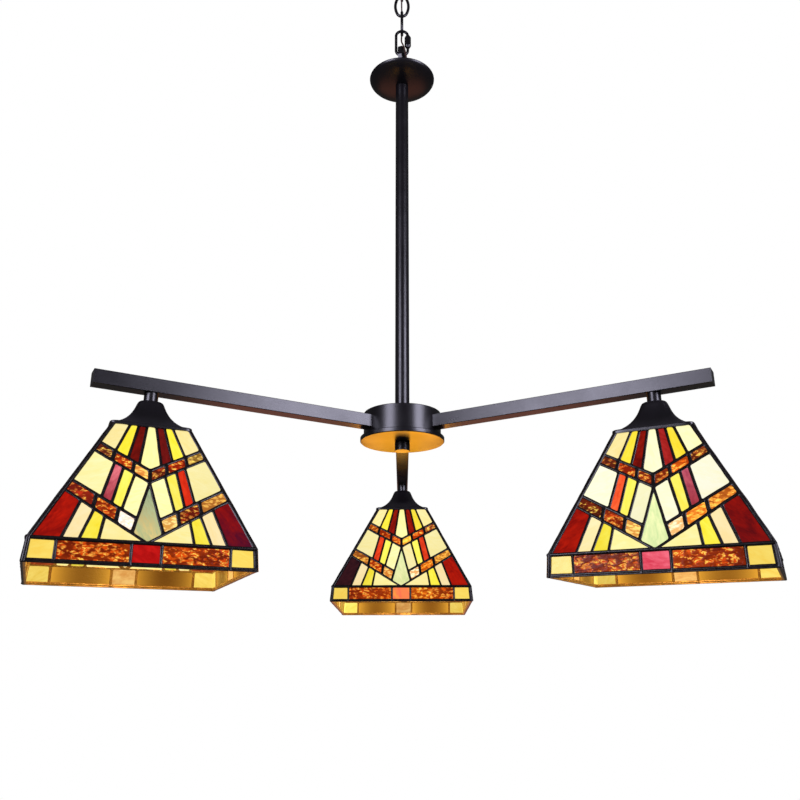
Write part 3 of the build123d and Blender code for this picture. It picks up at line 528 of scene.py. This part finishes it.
class Side:
    """One flat side of a shade: u across, v down, and height out of its face."""

    def __init__(self, quarter, top_half, top_z, foot_half, foot_z, half_at):
        lean = math.atan2(foot_half - top_half, top_z - foot_z)
        self.turn = Matrix.Rotation(math.radians(90 * quarter), 3, "Z")
        self.origin = Vector((0, -top_half, top_z))
        self.down = Vector((0, -math.sin(lean), -math.cos(lean)))
        self.out = Vector((0, -math.cos(lean), math.sin(lean)))
        self.half_at = half_at

    def at(self, u, v, height):
        return self.turn @ (self.origin + Vector((u, 0, 0)) + self.down * v + self.out * height)


def shade_matrix(head):
    """From a shade's own frame, in millimetres, to the part's frame, in metres."""
    azimuth = math.radians(head["azimuth"])
    place = point(STEM_RADIUS * math.cos(azimuth), STEM_RADIUS * math.sin(azimuth), CAP_LEVEL)
    lean = (Matrix.Rotation(math.radians(head["lean"][0]), 4, "X")
            @ Matrix.Rotation(math.radians(head["lean"][1]), 4, "Y"))
    return (Matrix.Translation(place) @ lean @ Matrix.Rotation(math.radians(head["turn"]), 4, "Z")
            @ Matrix.Scale(MM, 4))


GLASS_OUT, GLASS_IN = -0.3, -3.3     # faces of the panes, measured out of the side's outer face
BEAD, HIP = 1.7, 3.0                 # half widths of the solder between panes and beside a corner
CHEVRON_BEAD = BEAD + 0.5
BEAD_RISE = 1.0
BEAD_STEP, END_STEP = 5.0, 1.3       # between a bead's sections, and from its end to the first one
SHORT_BEAD = 6.0                     # a bead up to this long has no section near its ends
CORNER_FILL = 0.7                    # how far solder runs into the corner of a window
LIP_WAVE, CREST_WAVE = (13.0, 0.42), (14.0, 0.35)     # length and size of a bead's unevenness
# across a half bead: how far from its crest line (0) to the glass (1), on the outside (1) or inside (-1)
BEAD_PROFILE = ((0.0, 1), (0.45, 1), (0.8, 1), (1.0, 1), (1.0, -1), (0.6, -1), (0.0, -1))


def rough(seed, place, scale, size):
    """A smooth random height that is the same wherever it is asked for at one place."""
    return size * noise.noise(Vector((place[0] / scale, place[1] / scale, seed)))


def edge_widths(points, half_at, bead, hip):
    """The width for each edge of an outline: hip for those on a corner of the shade."""
    widths = []
    for a, b in zip(points, points[1:] + points[:1]):
        on_hip = all(abs(abs(u) - half_at(v)) < 0.01 for u, v in (a, b))
        widths.append(hip if on_hip else bead)
    return widths


def between(a, b, share):
    """A point of the plane on the way from a to b."""
    return a[0] + (b[0] - a[0]) * share, a[1] + (b[1] - a[1]) * share


def centre_of(points):
    return sum(p[0] for p in points) / len(points), sum(p[1] for p in points) / len(points)


def anticlockwise(points):
    area = sum(a[0] * b[1] - b[0] * a[1] for a, b in zip(points, points[1:] + points[:1]))
    return points if area > 0 else points[::-1]


def add_solder(bm, side, outline, seed, bead):
    """The half beads of solder round one pane, as one closed ring from crest line to glass."""
    outline = anticlockwise(outline)
    window = inset(outline, edge_widths(outline, side.half_at, bead, HIP))
    middle = centre_of(window)
    crest, lip = [], []
    for i, here in enumerate(outline):
        there, start, stop = outline[(i + 1) % len(outline)], window[i], window[(i + 1) % len(window)]
        length = math.dist(start, stop)
        steps = max(1, round(length / BEAD_STEP))
        shares = [k / steps for k in range(steps)]
        if length > SHORT_BEAD:
            shares = [0.0, END_STEP / length] + shares[1:] + [1 - END_STEP / length]
        for share in shares:
            crest.append(between(here, there, share))
            edge = between(start, stop, share)
            if share == 0.0:
                edge = between(edge, middle, CORNER_FILL / math.dist(edge, middle))
            wide = rough(seed, edge, *LIP_WAVE)
            lip.append(between(edge, middle, wide / math.dist(edge, middle)))
    loops = []
    for share, face in BEAD_PROFILE:
        loop = []
        for c, l in zip(crest, lip):
            u, v = between(c, l, share)
            rise = (BEAD_RISE + rough(seed + 5, c, *CREST_WAVE)) * math.sqrt(1 - share * share)
            height = GLASS_OUT + rise + 0.02 if face > 0 else GLASS_IN - 0.8 * rise - 0.02
            loop.append(bm.verts.new(side.at(u, v, height)))
        loops.append(loop)
    for one, two in zip(loops, loops[1:] + loops[:1]):
        for k in range(len(one)):
            after = (k + 1) % len(one)
            bm.faces.new((one[k], one[after], two[after], two[k]))


def quads_of(points):
    """A convex outline of three, four or five corners as quads, each with four corners in order."""
    if len(points) == 4:
        return [points]
    if len(points) == 3:
        a, b, c = points
        ab, bc, ca, centre = between(a, b, 0.5), between(b, c, 0.5), between(c, a, 0.5), centre_of(points)
        return [[a, ab, centre, ca], [b, bc, centre, ab], [c, ca, centre, bc]]
    a, b, c, d, e = points
    return [[a, b, c, d], [a, d, e, between(a, e, 0.5)]]


# mesh size of a pane and height of its ripples
PANE_GRID = {"opal": (5.0, 0.25), "red": (5.0, 0.25), "amber": (2.6, 0.32)}
PANE_REACH, PANE_HIP_GAP = 0.5, 1.4  # how far a pane's edge stays inside its outline
INNER_LIGHT = 1.08                   # how much brighter a pane's near face is than its far one


def along_pane(pane, hand):
    """How far, from 0 to 1, a point is along its pane's longer way: down, or out from the middle."""
    width = max(p[0] for p in pane) - min(p[0] for p in pane)
    height = max(p[1] for p in pane) - min(p[1] for p in pane)

    def reach(u, v):
        return v if height > width else u * (hand or 1)

    start = min(reach(*p) for p in pane)
    length = max(reach(*p) for p in pane) - start
    return lambda u, v: (reach(u, v) - start) / length


def add_pane(bm, layers, side, outline, look, seed, hand, family):
    """One pane of glass: a thin slab with an uneven rolled surface."""
    outline = anticlockwise(outline)
    pane = inset(outline, edge_widths(outline, side.half_at, PANE_REACH, PANE_HIP_GAP))
    outer, inner, angle, stretch = look
    cell, ripple = PANE_GRID[family]
    turn, shift = math.radians(angle), Vector((seed * 1.7, seed * 0.9, seed * 0.37))
    share_at = along_pane(pane, hand)
    welded = {}

    def tint(k, share, face):
        """Colour k of the pane, on its far face or on its near one."""
        if face:
            return outer[k].lerp(outer[k + 2], share)
        if family != "amber":
            return inner[k]
        # the near face of clear glass is darkest in its middle; its lighter golden ends are a painted
        # reflection of the bulb
        dark = math.sin(math.pi * max(0.0, min(1.0, share))) ** 0.8
        return inner[0].lerp(inner[1], dark * 0.7 + 0.3 * k)

    def vertex(u, v, face):
        key = (round(u, 4), round(v, 4), face)
        if key not in welded:
            relief = rough(seed + face, (u, v), cell, ripple)
            made = bm.verts.new(side.at(u, v, (GLASS_OUT if face else GLASS_IN) + relief))
            for k, layer in enumerate(("tint_a", "tint_b")):
                made[layers[layer]] = tint(k, share_at(u, v), face)
            made[layers["lit"]] = 1.0 if face else INNER_LIGHT
            made[layers["inner"]] = 1.0 - face
            grain = Vector(((u * math.cos(turn) + v * math.sin(turn)) * stretch,
                            v * math.cos(turn) - u * math.sin(turn), 0))
            made[layers["grain"]] = grain * MM + shift
            welded[key] = made
        return welded[key]

    rim = {}
    for a, b, c, d in quads_of(pane):
        size = max(math.dist(a, b), math.dist(c, d)), max(math.dist(b, c), math.dist(d, a))
        across, down = (max(1, round(length / cell)) for length in size)

        def spot(i, j):
            return between(between(a, b, i / across), between(d, c, i / across), j / down)

        for i in range(across):
            for j in range(down):
                corners = [spot(i, j), spot(i + 1, j), spot(i + 1, j + 1), spot(i, j + 1)]
                bm.faces.new([vertex(*p, 1) for p in corners])
                bm.faces.new([vertex(*p, 0) for p in corners[::-1]])
                for p, q in zip(corners, corners[1:] + corners[:1]):
                    key = tuple(round(x, 4) for x in (*p, *q))
                    back = key[2:] + key[:2]
                    if back in rim:
                        del rim[back]
                    else:
                        rim[key] = (p, q)
    for p, q in rim.values():
        bm.faces.new((vertex(*p, 1), vertex(*p, 0), vertex(*q, 0), vertex(*q, 1)))


# ------------------------------------------------------------------ how each pane is coloured
# key: two streak colours, and the direction of its streaks in degrees
LOOKS = {
    "top_middle": ((255, 246, 172), (255, 240, 152), 80),
    "top_red": ((150, 22, 8), (96, 8, 5), 70),
    "top_yellow": ((255, 234, 78), (252, 224, 48), 60),
    "top_cream": ((255, 240, 172), (253, 232, 150), 40),
    "v1_inner": ((196, 78, 26), (108, 30, 10), 0),
    "v1_middle": ((196, 62, 12), (118, 26, 5), 0),
    "v1_outer": ((166, 72, 26), (84, 28, 12), 0),
    "mid_cream": ((255, 246, 182), (254, 238, 158), 30),
    "mid_yellow": ((255, 242, 108), (253, 234, 80), 70),
    "mid_red": ((228, 68, 30), (186, 34, 14), 75),
    "mid_outer": ((255, 244, 178), (253, 238, 158), 20),
    "v2_inner": ((255, 226, 150), (212, 150, 66), 0),
    "v2_middle": ((206, 72, 16), (110, 26, 6), 0),
    "v2_outer": ((206, 122, 44), (112, 52, 14), 0),
    "kite": ((240, 244, 180), (206, 226, 160), 85),
    "low_cream": ((255, 240, 168), (254, 234, 148), 15),
    "low_yellow": ((255, 240, 84), (252, 228, 54), 65),
    "low_blush": ((255, 234, 180), (254, 228, 162), 55),
    "low_ruby": ((182, 24, 7), (134, 10, 6), 50),
    "band_red": ((205, 22, 20), (170, 10, 12), 20),
    "band_amber": ((226, 86, 10), (116, 32, 4), 0),
    "band_corner": ((255, 226, 108), (252, 214, 88), 30),
}
# panes of the front side that differ, by shade, pane and side of the middle
OWN_LOOKS = {
    ("left", "top_red", -1): ((116, 16, 8), (78, 8, 6), 70),
    ("left", "top_red", 1): ((108, 16, 14), (70, 8, 10), 70),
    ("left", "v1_inner", -1): ((246, 196, 104), (196, 120, 50), 0),
    ("left", "v1_inner", 1): ((160, 56, 24), (84, 22, 10), 0),
    ("left", "v1_middle", 1): ((178, 44, 9), (104, 18, 4), 0),
    ("left", "v1_outer", -1): ((140, 62, 32), (74, 24, 14), 0),
    ("left", "v1_outer", 1): ((206, 164, 84), (130, 92, 30), 0),
    ("left", "mid_red", -1): ((246, 140, 146), (206, 86, 104), 78),
    ("left", "mid_red", 1): ((214, 50, 22), (184, 30, 12), 75),
    ("left", "v2_inner", -1): ((255, 253, 244), (232, 206, 184), 0),
    ("left", "v2_middle", 1): ((150, 42, 16), (84, 18, 8), 0),
    ("left", "v2_outer", -1): ((172, 44, 18), (100, 22, 12), 0),
    ("left", "v2_outer", 1): ((236, 172, 82), (166, 100, 36), 0),
    ("left", "kite", 0): ((70, 118, 102), (188, 210, 166), 80),
    ("left", "low_ruby", 1): ((146, 14, 8), (110, 7, 8), 50),
    ("right", "top_middle", 0): ((255, 252, 214), (255, 250, 196), 80),
    ("right", "top_red", 1): ((180, 40, 38), (140, 18, 16), 70),
    ("right", "top_cream", 1): ((255, 249, 200), (253, 246, 182), 40),
    ("right", "v1_middle", 1): ((224, 100, 18), (156, 54, 6), 0),
    ("right", "mid_cream", -1): ((255, 252, 210), (254, 250, 196), 30),
    ("right", "mid_cream", 1): ((255, 252, 220), (254, 250, 204), 30),
    ("right", "mid_red", -1): ((252, 104, 54), (224, 64, 28), 75),
    ("right", "mid_red", 1): ((214, 108, 122), (172, 66, 90), 78),
    ("right", "mid_outer", -1): ((255, 252, 220), (254, 250, 204), 20),
    ("right", "mid_outer", 1): ((255, 252, 226), (254, 250, 210), 20),
    ("right", "v2_inner", -1): ((250, 208, 120), (204, 136, 58), 0),
    ("right", "v2_inner", 1): ((255, 238, 200), (228, 172, 104), 0),
    ("right", "v2_middle", 1): ((252, 164, 56), (206, 96, 18), 0),
    ("right", "v2_outer", -1): ((120, 38, 12), (66, 18, 6), 0),
    ("right", "v2_outer", 1): ((234, 144, 52), (156, 74, 18), 0),
    ("right", "low_ruby", 1): ((154, 18, 8), (112, 8, 10), 50),
    ("right", "band_red", 0): ((250, 112, 132), (222, 60, 84), 20),
    ("right", "band_amber", -1): ((204, 84, 26), (100, 34, 12), 0),
    ("back", "top_red", 1): ((176, 30, 12), (110, 10, 6), 70),
    ("back", "v1_inner", -1): ((230, 98, 22), (158, 52, 8), 0),
    ("back", "v1_inner", 1): ((255, 214, 76), (214, 140, 40), 0),
    ("back", "v1_middle", -1): ((210, 66, 8), (136, 34, 4), 0),
    ("back", "v1_middle", 1): ((236, 88, 8), (164, 46, 4), 0),
    ("back", "v1_outer", -1): ((196, 86, 20), (120, 44, 8), 0),
    ("back", "v1_outer", 1): ((176, 80, 40), (110, 44, 20), 0),
    ("back", "v2_inner", -1): ((250, 204, 120), (204, 118, 40), 0),
    ("back", "v2_inner", 1): ((255, 242, 206), (216, 156, 88), 0),
    ("back", "v2_middle", -1): ((206, 68, 6), (130, 34, 4), 0),
    ("back", "v2_middle", 1): ((238, 126, 22), (160, 60, 6), 0),
    ("back", "v2_outer", -1): ((208, 128, 50), (130, 66, 20), 0),
    ("back", "v2_outer", 1): ((226, 150, 56), (146, 80, 22), 0),
    ("back", "low_ruby", -1): ((54, 20, 26), (34, 12, 20), 50),
    ("back", "band_red", 0): ((236, 62, 88), (255, 158, 62), 80),
    ("back", "band_amber", -1): ((230, 96, 12), (148, 46, 4), 0),
    ("back", "band_amber", 1): ((244, 130, 20), (176, 68, 6), 0),
}
# the same panes from inside, where the bulb shines on their near face
INSIDE = {
    "opal": ((246, 232, 158), (232, 208, 116)),
    "red": ((176, 78, 34), (128, 44, 16)),
    "amber": ((224, 160, 52), (96, 50, 8)),
}
INSIDE_YELLOW = ((236, 222, 84), (222, 200, 60))
INSIDE_OWN = {
    "band_corner": ((255, 226, 112), (244, 206, 84)),
    "band_red": ((238, 192, 112), (214, 150, 76)),
    "top_yellow": INSIDE_YELLOW,
    "mid_yellow": INSIDE_YELLOW,
    "low_yellow": INSIDE_YELLOW,
}
# panes whose colour changes along their length, down or outwards: the same two colours at its end
FADES = {
    # painted bulb light: the band's amber is brighter at its middle end, nearer the bulb, and darker outwards
    "band_amber": ((208, 66, 8), (106, 26, 4)),
    ("left", "kite", 0): ((252, 220, 140), (178, 190, 136)),
    ("back", "kite", 0): ((246, 242, 178), (214, 226, 150)),
    ("left", "mid_red", -1): ((168, 44, 58), (120, 24, 40)),
    ("right", "mid_red", 1): ((170, 52, 62), (128, 30, 48)),
    ("left", "low_ruby", 1): ((112, 12, 24), (58, 8, 40)),
    ("right", "low_ruby", 1): ((136, 14, 12), (84, 8, 16)),
    ("back", "band_red", 0): ((255, 150, 66), (246, 110, 84)),
}
AMBER_STRETCH = 0.55                 # the grain of hammered glass runs along its strips


def tints(colours, depth):
    """Linear colours of display ones, all a little lighter or darker."""
    return [Vector(srgb(*(min(255, value * depth) for value in colour))) for colour in colours]


def look_of(shade, quarter, key, family, hand, seed):
    """One pane's colours outside (two, then two at its end) and inside, and its grain."""
    one, two, angle = LOOKS[key]
    own_foot = None
    if quarter == 0:
        one, two, angle = OWN_LOOKS.get((shade, key, hand), (one, two, angle))
        own_foot = FADES.get((shade, key, hand))
    foot = own_foot or FADES.get(key, (one, two))
    pick = random.Random(seed)
    outer = tints((one, two, *foot), 1.0 + pick.uniform(-0.06, 0.03))
    inner = tints(INSIDE_OWN.get(key, INSIDE[family]), 1.0 + pick.uniform(-0.12, 0.08))
    angle = angle * (hand or 1) + pick.uniform(-15, 15)
    return outer, inner, angle, AMBER_STRETCH if family == "amber" else 1.0


def depth_inside(place):
    """How far a point of the shade lies behind its outer faces, in millimetres."""
    top = (PANEL_TOP, PANEL_TOP_HALF, PANEL_FOOT, PANEL_FOOT_HALF)
    low = (PANEL_FOOT, PANEL_FOOT_HALF, BAND_FOOT, BAND_FOOT_HALF)
    z0, half0, z1, half1 = top if place.z > PANEL_FOOT else low
    spread = (half1 - half0) / (z0 - z1)
    half = half0 + spread * (z0 - place.z)
    return (half - max(abs(place.x), abs(place.y))) / math.hypot(1, spread)


BULB_PLACE = Vector((0, 0, -113.5))          # middle of the bulb, in the shade's frame
BULB_GAIN, BULB_REACH = 0.22, 105.0          # the glass beside the bulb is brighter
FIRST_SEED = {"left": 100, "right": 300, "back": 500}


def pane_layers(bm):
    """What each vertex of a pane carries for the glass material."""
    made = bm.verts.layers
    return {"tint_a": made.float_color.new("tint_a"), "tint_b": made.float_color.new("tint_b"),
            "lit": made.float.new("lit"), "inner": made.float.new("inner"),
            "grain": made.float_vector.new("grain")}


# how deep inside a shade its solder begins to be painted with the bulb's light, bronze and glowing, and over
# what depth
BULB_LIGHT_FROM, BULB_LIGHT_OVER = 1.6, 1.2
# the heavy beads at the corner, fold and foot: radius, step along it, length and size of its bumps
HEAVY_BEADS = ((2.7, 4.0, 22.0, 0.5), (2.3, 5.0, 26.0, 0.45), (2.45, 5.0, 15.0, 0.15))


def add_heavy_beads(solder, panel, band, seed):
    """The heavier beads down a corner, along the fold above the band and round the foot."""
    places = [(panel, edge_half(PANEL_SLANT * k / 36), PANEL_SLANT * k / 36) for k in range(37)]
    places += [(band, band_half(BAND_HEIGHT * k / 6), BAND_HEIGHT * k / 6) for k in range(1, 7)]
    inwards = panel.turn @ Vector((-0.8, 0.8, 0))
    corner = [side.at(half, v, -1.2) + inwards for side, half, v in places]
    across = [k / 20 - 1 for k in range(41)]
    fold = [band.at(PANEL_FOOT_HALF * share, 0, -0.9) for share in across]
    foot = [band.at(BAND_FOOT_HALF * share, BAND_HEIGHT - 1.9, -1.8) for share in across]
    for extra, (path, bead) in enumerate(zip((corner, fold, foot), HEAVY_BEADS)):
        radius, step, scale, size = bead
        radii = [radius + rough(seed + extra, (k * step, 0), scale, size) for k in range(len(path))]
        add_tube(solder, path, radii)


def make_shade(shade, head, materials):
    """One leaded shade: its solder, its three kinds of glass and its cap."""
    body = shade + "_shade"
    matrix = shade_matrix(head)
    solder = bmesh.new()
    glass = {family: bmesh.new() for family in PANE_GRID}
    layers = {family: pane_layers(bm) for family, bm in glass.items()}
    seed = FIRST_SEED[shade]
    for quarter in range(4):
        panel = Side(quarter, PANEL_TOP_HALF, PANEL_TOP, PANEL_FOOT_HALF, PANEL_FOOT, edge_half)
        band = Side(quarter, PANEL_FOOT_HALF, PANEL_FOOT, BAND_FOOT_HALF, BAND_FOOT, band_half)
        for side, cells in ((panel, panel_cells()), (band, band_cells())):
            for key, family, hand, outline in cells:
                seed += 1
                bead = CHEVRON_BEAD if key.startswith(("v1_", "v2_")) else BEAD
                add_solder(solder, side, outline, seed, bead)
                look = look_of(shade, quarter, key, family, hand, seed)
                add_pane(glass[family], layers[family], side, outline, look, seed, hand, family)
        add_heavy_beads(solder, panel, band, seed)
    inner = solder.verts.layers.float.new("inner")
    for vert in solder.verts:
        vert[inner] = max(0.0, min(1.0, (depth_inside(vert.co) - BULB_LIGHT_FROM) / BULB_LIGHT_OVER))
    solder.transform(matrix)
    piece = new_object("solder_" + shade, solder, materials["dark_solder"], body)
    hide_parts("shade_lattice_" + shade)
    for family, bm in glass.items():
        lit = layers[family]["lit"]
        for vert in bm.verts:
            near = (vert.co - BULB_PLACE).length / BULB_REACH
            vert[lit] *= 1.0 + BULB_GAIN * math.exp(-near ** 2)
        bm.transform(matrix)
        piece = new_object(f"panes_{family}_{shade}", bm, materials[family + "_glass"], body)
        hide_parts(f"{family}_glass_{shade}")
    make_cap(shade, matrix, materials["black_metal"])


# half width and height of the cap's outside, from its neck to its rim
CAP_PROFILE = [(11.5, 0), (14.0, -1.2), (15.6, -3.6), (17.6, -9.0), (20.6, -16.0), (25.0, -23.5),
               (31.0, -30.5), (38.5, -36.3), (45.2, -38.6), (46.4, -40.2), (46.4, -43.0)]
CAP_WALL, CAP_HOLE_R = 1.2, 5.9
CAP_SIDES = 144


def smooth_path(points, steps):
    """Points of a smooth curve through the given ones."""
    curve = []
    for i in range(len(points) - 1):
        p = [points[max(0, min(len(points) - 1, i + k))] for k in (-1, 0, 1, 2)]
        for step in range(steps):
            t = step / steps
            curve.append(tuple(0.5 * (2 * b + (c - a) * t + (2 * a - 5 * b + 4 * c - d) * t ** 2
                                      + (3 * b - a - 3 * c + d) * t ** 3)
                               for a, b, c, d in zip(*p)))
    return curve + [points[-1]]


def make_cap(shade, matrix, material):
    """The spun and folded cap: round at its neck, square at its rim."""
    outer = smooth_path([(CAP_HOLE_R, 0)] + CAP_PROFILE, 4)
    inner = [(max(CAP_HOLE_R, half - CAP_WALL), z - CAP_WALL if half < 16 else z - CAP_WALL * 0.4)
             for half, z in outer[:-1]] + [(outer[-1][0] - CAP_WALL, outer[-1][1])]
    rings = []
    bm = bmesh.new()
    for half, z in outer + inner[::-1]:
        # the power of a rounded square: 2 is a circle, 16 is nearly square
        squareness = 2.0 + 14.0 * max(0.0, min(1.0, (half - 9.0) / 34.0)) ** 1.3
        ring = []
        for k in range(CAP_SIDES):
            angle = 2 * math.pi * (k + 0.5) / CAP_SIDES
            c, s = abs(math.cos(angle)), abs(math.sin(angle))
            reach = half / (c ** squareness + s ** squareness) ** (1 / squareness)
            ring.append(bm.verts.new((reach * math.cos(angle), reach * math.sin(angle), z)))
        rings.append(ring)
    for one, two in zip(rings, rings[1:] + rings[:1]):
        for k in range(CAP_SIDES):
            after = (k + 1) % CAP_SIDES
            bm.faces.new((one[k], one[after], two[after], two[k]))
    bm.transform(matrix)
    piece = new_object("cap_" + shade, bm, material, shade + "_shade")
    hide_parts("shade_cap_" + shade)


# ------------------------------------------------------------------ the studio
FLOOR_RADIUS, FLOOR_LEVEL = 6.9, -2.4
DIM_ROOM = 0.08                      # how bright the white room is to everything but the camera
# name, place, what it points at, size, power and colour
LIGHTS = (
    ("left_softbox", (-0.90, -1.20, -0.43), (0, 0, -0.43), (0.66, 0.93), 20.5, (0.81, 0.79, 1.0)),
    ("right_softbox", (1.08, -0.93, -0.43), (0, 0, -0.43), (0.64, 0.93), 20.5, (0.81, 0.79, 1.0)),
    ("warm_bounce", (0.0, 2.2, -1.85), (0, 0, -0.60), (1.8, 1.3), 4.6, (1.0, 0.30, 0.18)),
    ("back_shade_glow", (0.0, 0.262, -1.0), (0, 0.02, -0.88), (0.15, 0.12), 0.30, (1.0, 0.36, 0.0)),
)


def make_floor():
    """A pale floor that fades into the white background towards its edge."""
    bm = bmesh.new()
    bmesh.ops.create_circle(bm, cap_ends=True, segments=96, radius=FLOOR_RADIUS)
    mesh = bpy.data.meshes.new("floor")
    bm.to_mesh(mesh)
    bm.free()
    floor = bpy.data.objects.new("floor", mesh)
    floor.location = (0, 0, FLOOR_LEVEL)
    n = Nodes("floor_paper")
    at = n.place()
    reach = n.node("ShaderNodeVectorMath", {0: at}, operation="LENGTH").outputs["Value"]
    far = n.ramp(reach, 0.8, 5.2)
    fibre = n.ramp(n.noise(at, 3, 3), 0.3, 0.7, 0.985, 1.0)
    n.set(Base_Color=n.mix(far, srgb(84, 84, 84), srgb(0, 0, 0)), Roughness=0.9, Specular_IOR_Level=0.0,
          Emission_Color=(1, 1, 1, 1),
          Emission_Strength=n.calc("MULTIPLY", n.ramp(far, 0.0, 1.0, 0.78, 1.0), fibre))
    mesh.materials.append(n.material)
    bpy.context.scene.collection.objects.link(floor)
    floor.visible_glossy = False
    floor.visible_diffuse = False


def make_studio():
    """The floor, the white background and the lights."""
    make_floor()
    world = bpy.data.worlds.new("studio")
    bpy.context.scene.world = world
    world.use_nodes = True
    tree = world.node_tree
    # white behind the lamp, but a dim room for its black enamel to reflect
    rays = tree.nodes.new("ShaderNodeLightPath")
    strength = tree.nodes.new("ShaderNodeMapRange")
    strength.inputs["To Min"].default_value = DIM_ROOM
    tree.links.new(rays.outputs["Is Camera Ray"], strength.inputs["Value"])
    back = tree.nodes["Background"]
    back.inputs["Color"].default_value = (1, 1, 1, 1)
    tree.links.new(strength.outputs["Result"], back.inputs["Strength"])

    for name, place, aim, size, power, colour in LIGHTS:
        light = bpy.data.lights.new(name, "AREA")
        light.shape = "RECTANGLE"
        light.size, light.size_y = size
        light.energy, light.color = power, colour
        lamp = bpy.data.objects.new(name, light)
        lamp.location = place
        lamp.rotation_euler = (Vector(aim) - Vector(place)).to_track_quat("-Z", "Y").to_euler()
        lamp.visible_camera = False
        bpy.context.scene.collection.objects.link(lamp)
    bpy.context.scene.view_settings.view_transform = "Standard"


# ------------------------------------------------------------------ build
def dress(materials):
    """Gives every CAD piece that is kept the material of its slot."""
    for row in frame["record"]["subparts"]:
        node = NODES[row["node"]]
        node.data.materials.clear()
        node.data.materials.append(materials[row["material_slot"]])


def build():
    """The whole scene, in the order in which its pieces are made."""
    make_camera()
    materials = {
        "black_metal": enamel(),
        "dark_solder": patina(),
        "zinc_steel": zinc(),
        "opal_glass": stained_glass("opal_glass", 3.2, 0, 0.16, 0.93),
        "red_glass": stained_glass("red_glass", 2.6, 0, 0.13, 1.0, 0.12),
        "amber_glass": stained_glass("amber_glass", 1.6, 270, 0.22, 1.15, 0.08),
        "bulb_glass": glowing_bulb(),
        "bulb_cap": plain("bulb_cap", srgb(176, 176, 172), srgb(212, 211, 206), 240, 0.32, 0.15, 1.0),
        "black_phenolic": plain("black_phenolic", srgb(24, 22, 22), srgb(38, 35, 34), 80, 0.42, 0.1),
        "cream_plastic": plain("cream_plastic", srgb(224, 214, 186), srgb(238, 230, 206), 60, 0.5, 0.08),
        "brass": plain("brass", srgb(186, 146, 72), srgb(214, 176, 96), 160, 0.3, 0.12, 1.0),
        "brown_cord": plain("brown_cord", srgb(44, 25, 18), srgb(66, 38, 27), 500, 0.48, 0.3),
        "lead_insulation": plain("lead_insulation", srgb(222, 216, 200), srgb(236, 232, 220), 90, 0.5, 0.08),
    }
    make_supply_cord(materials["brown_cord"])
    dress(materials)
    for shade, head in HEADS.items():
        make_shade(shade, head, materials)
    make_studio()


build()
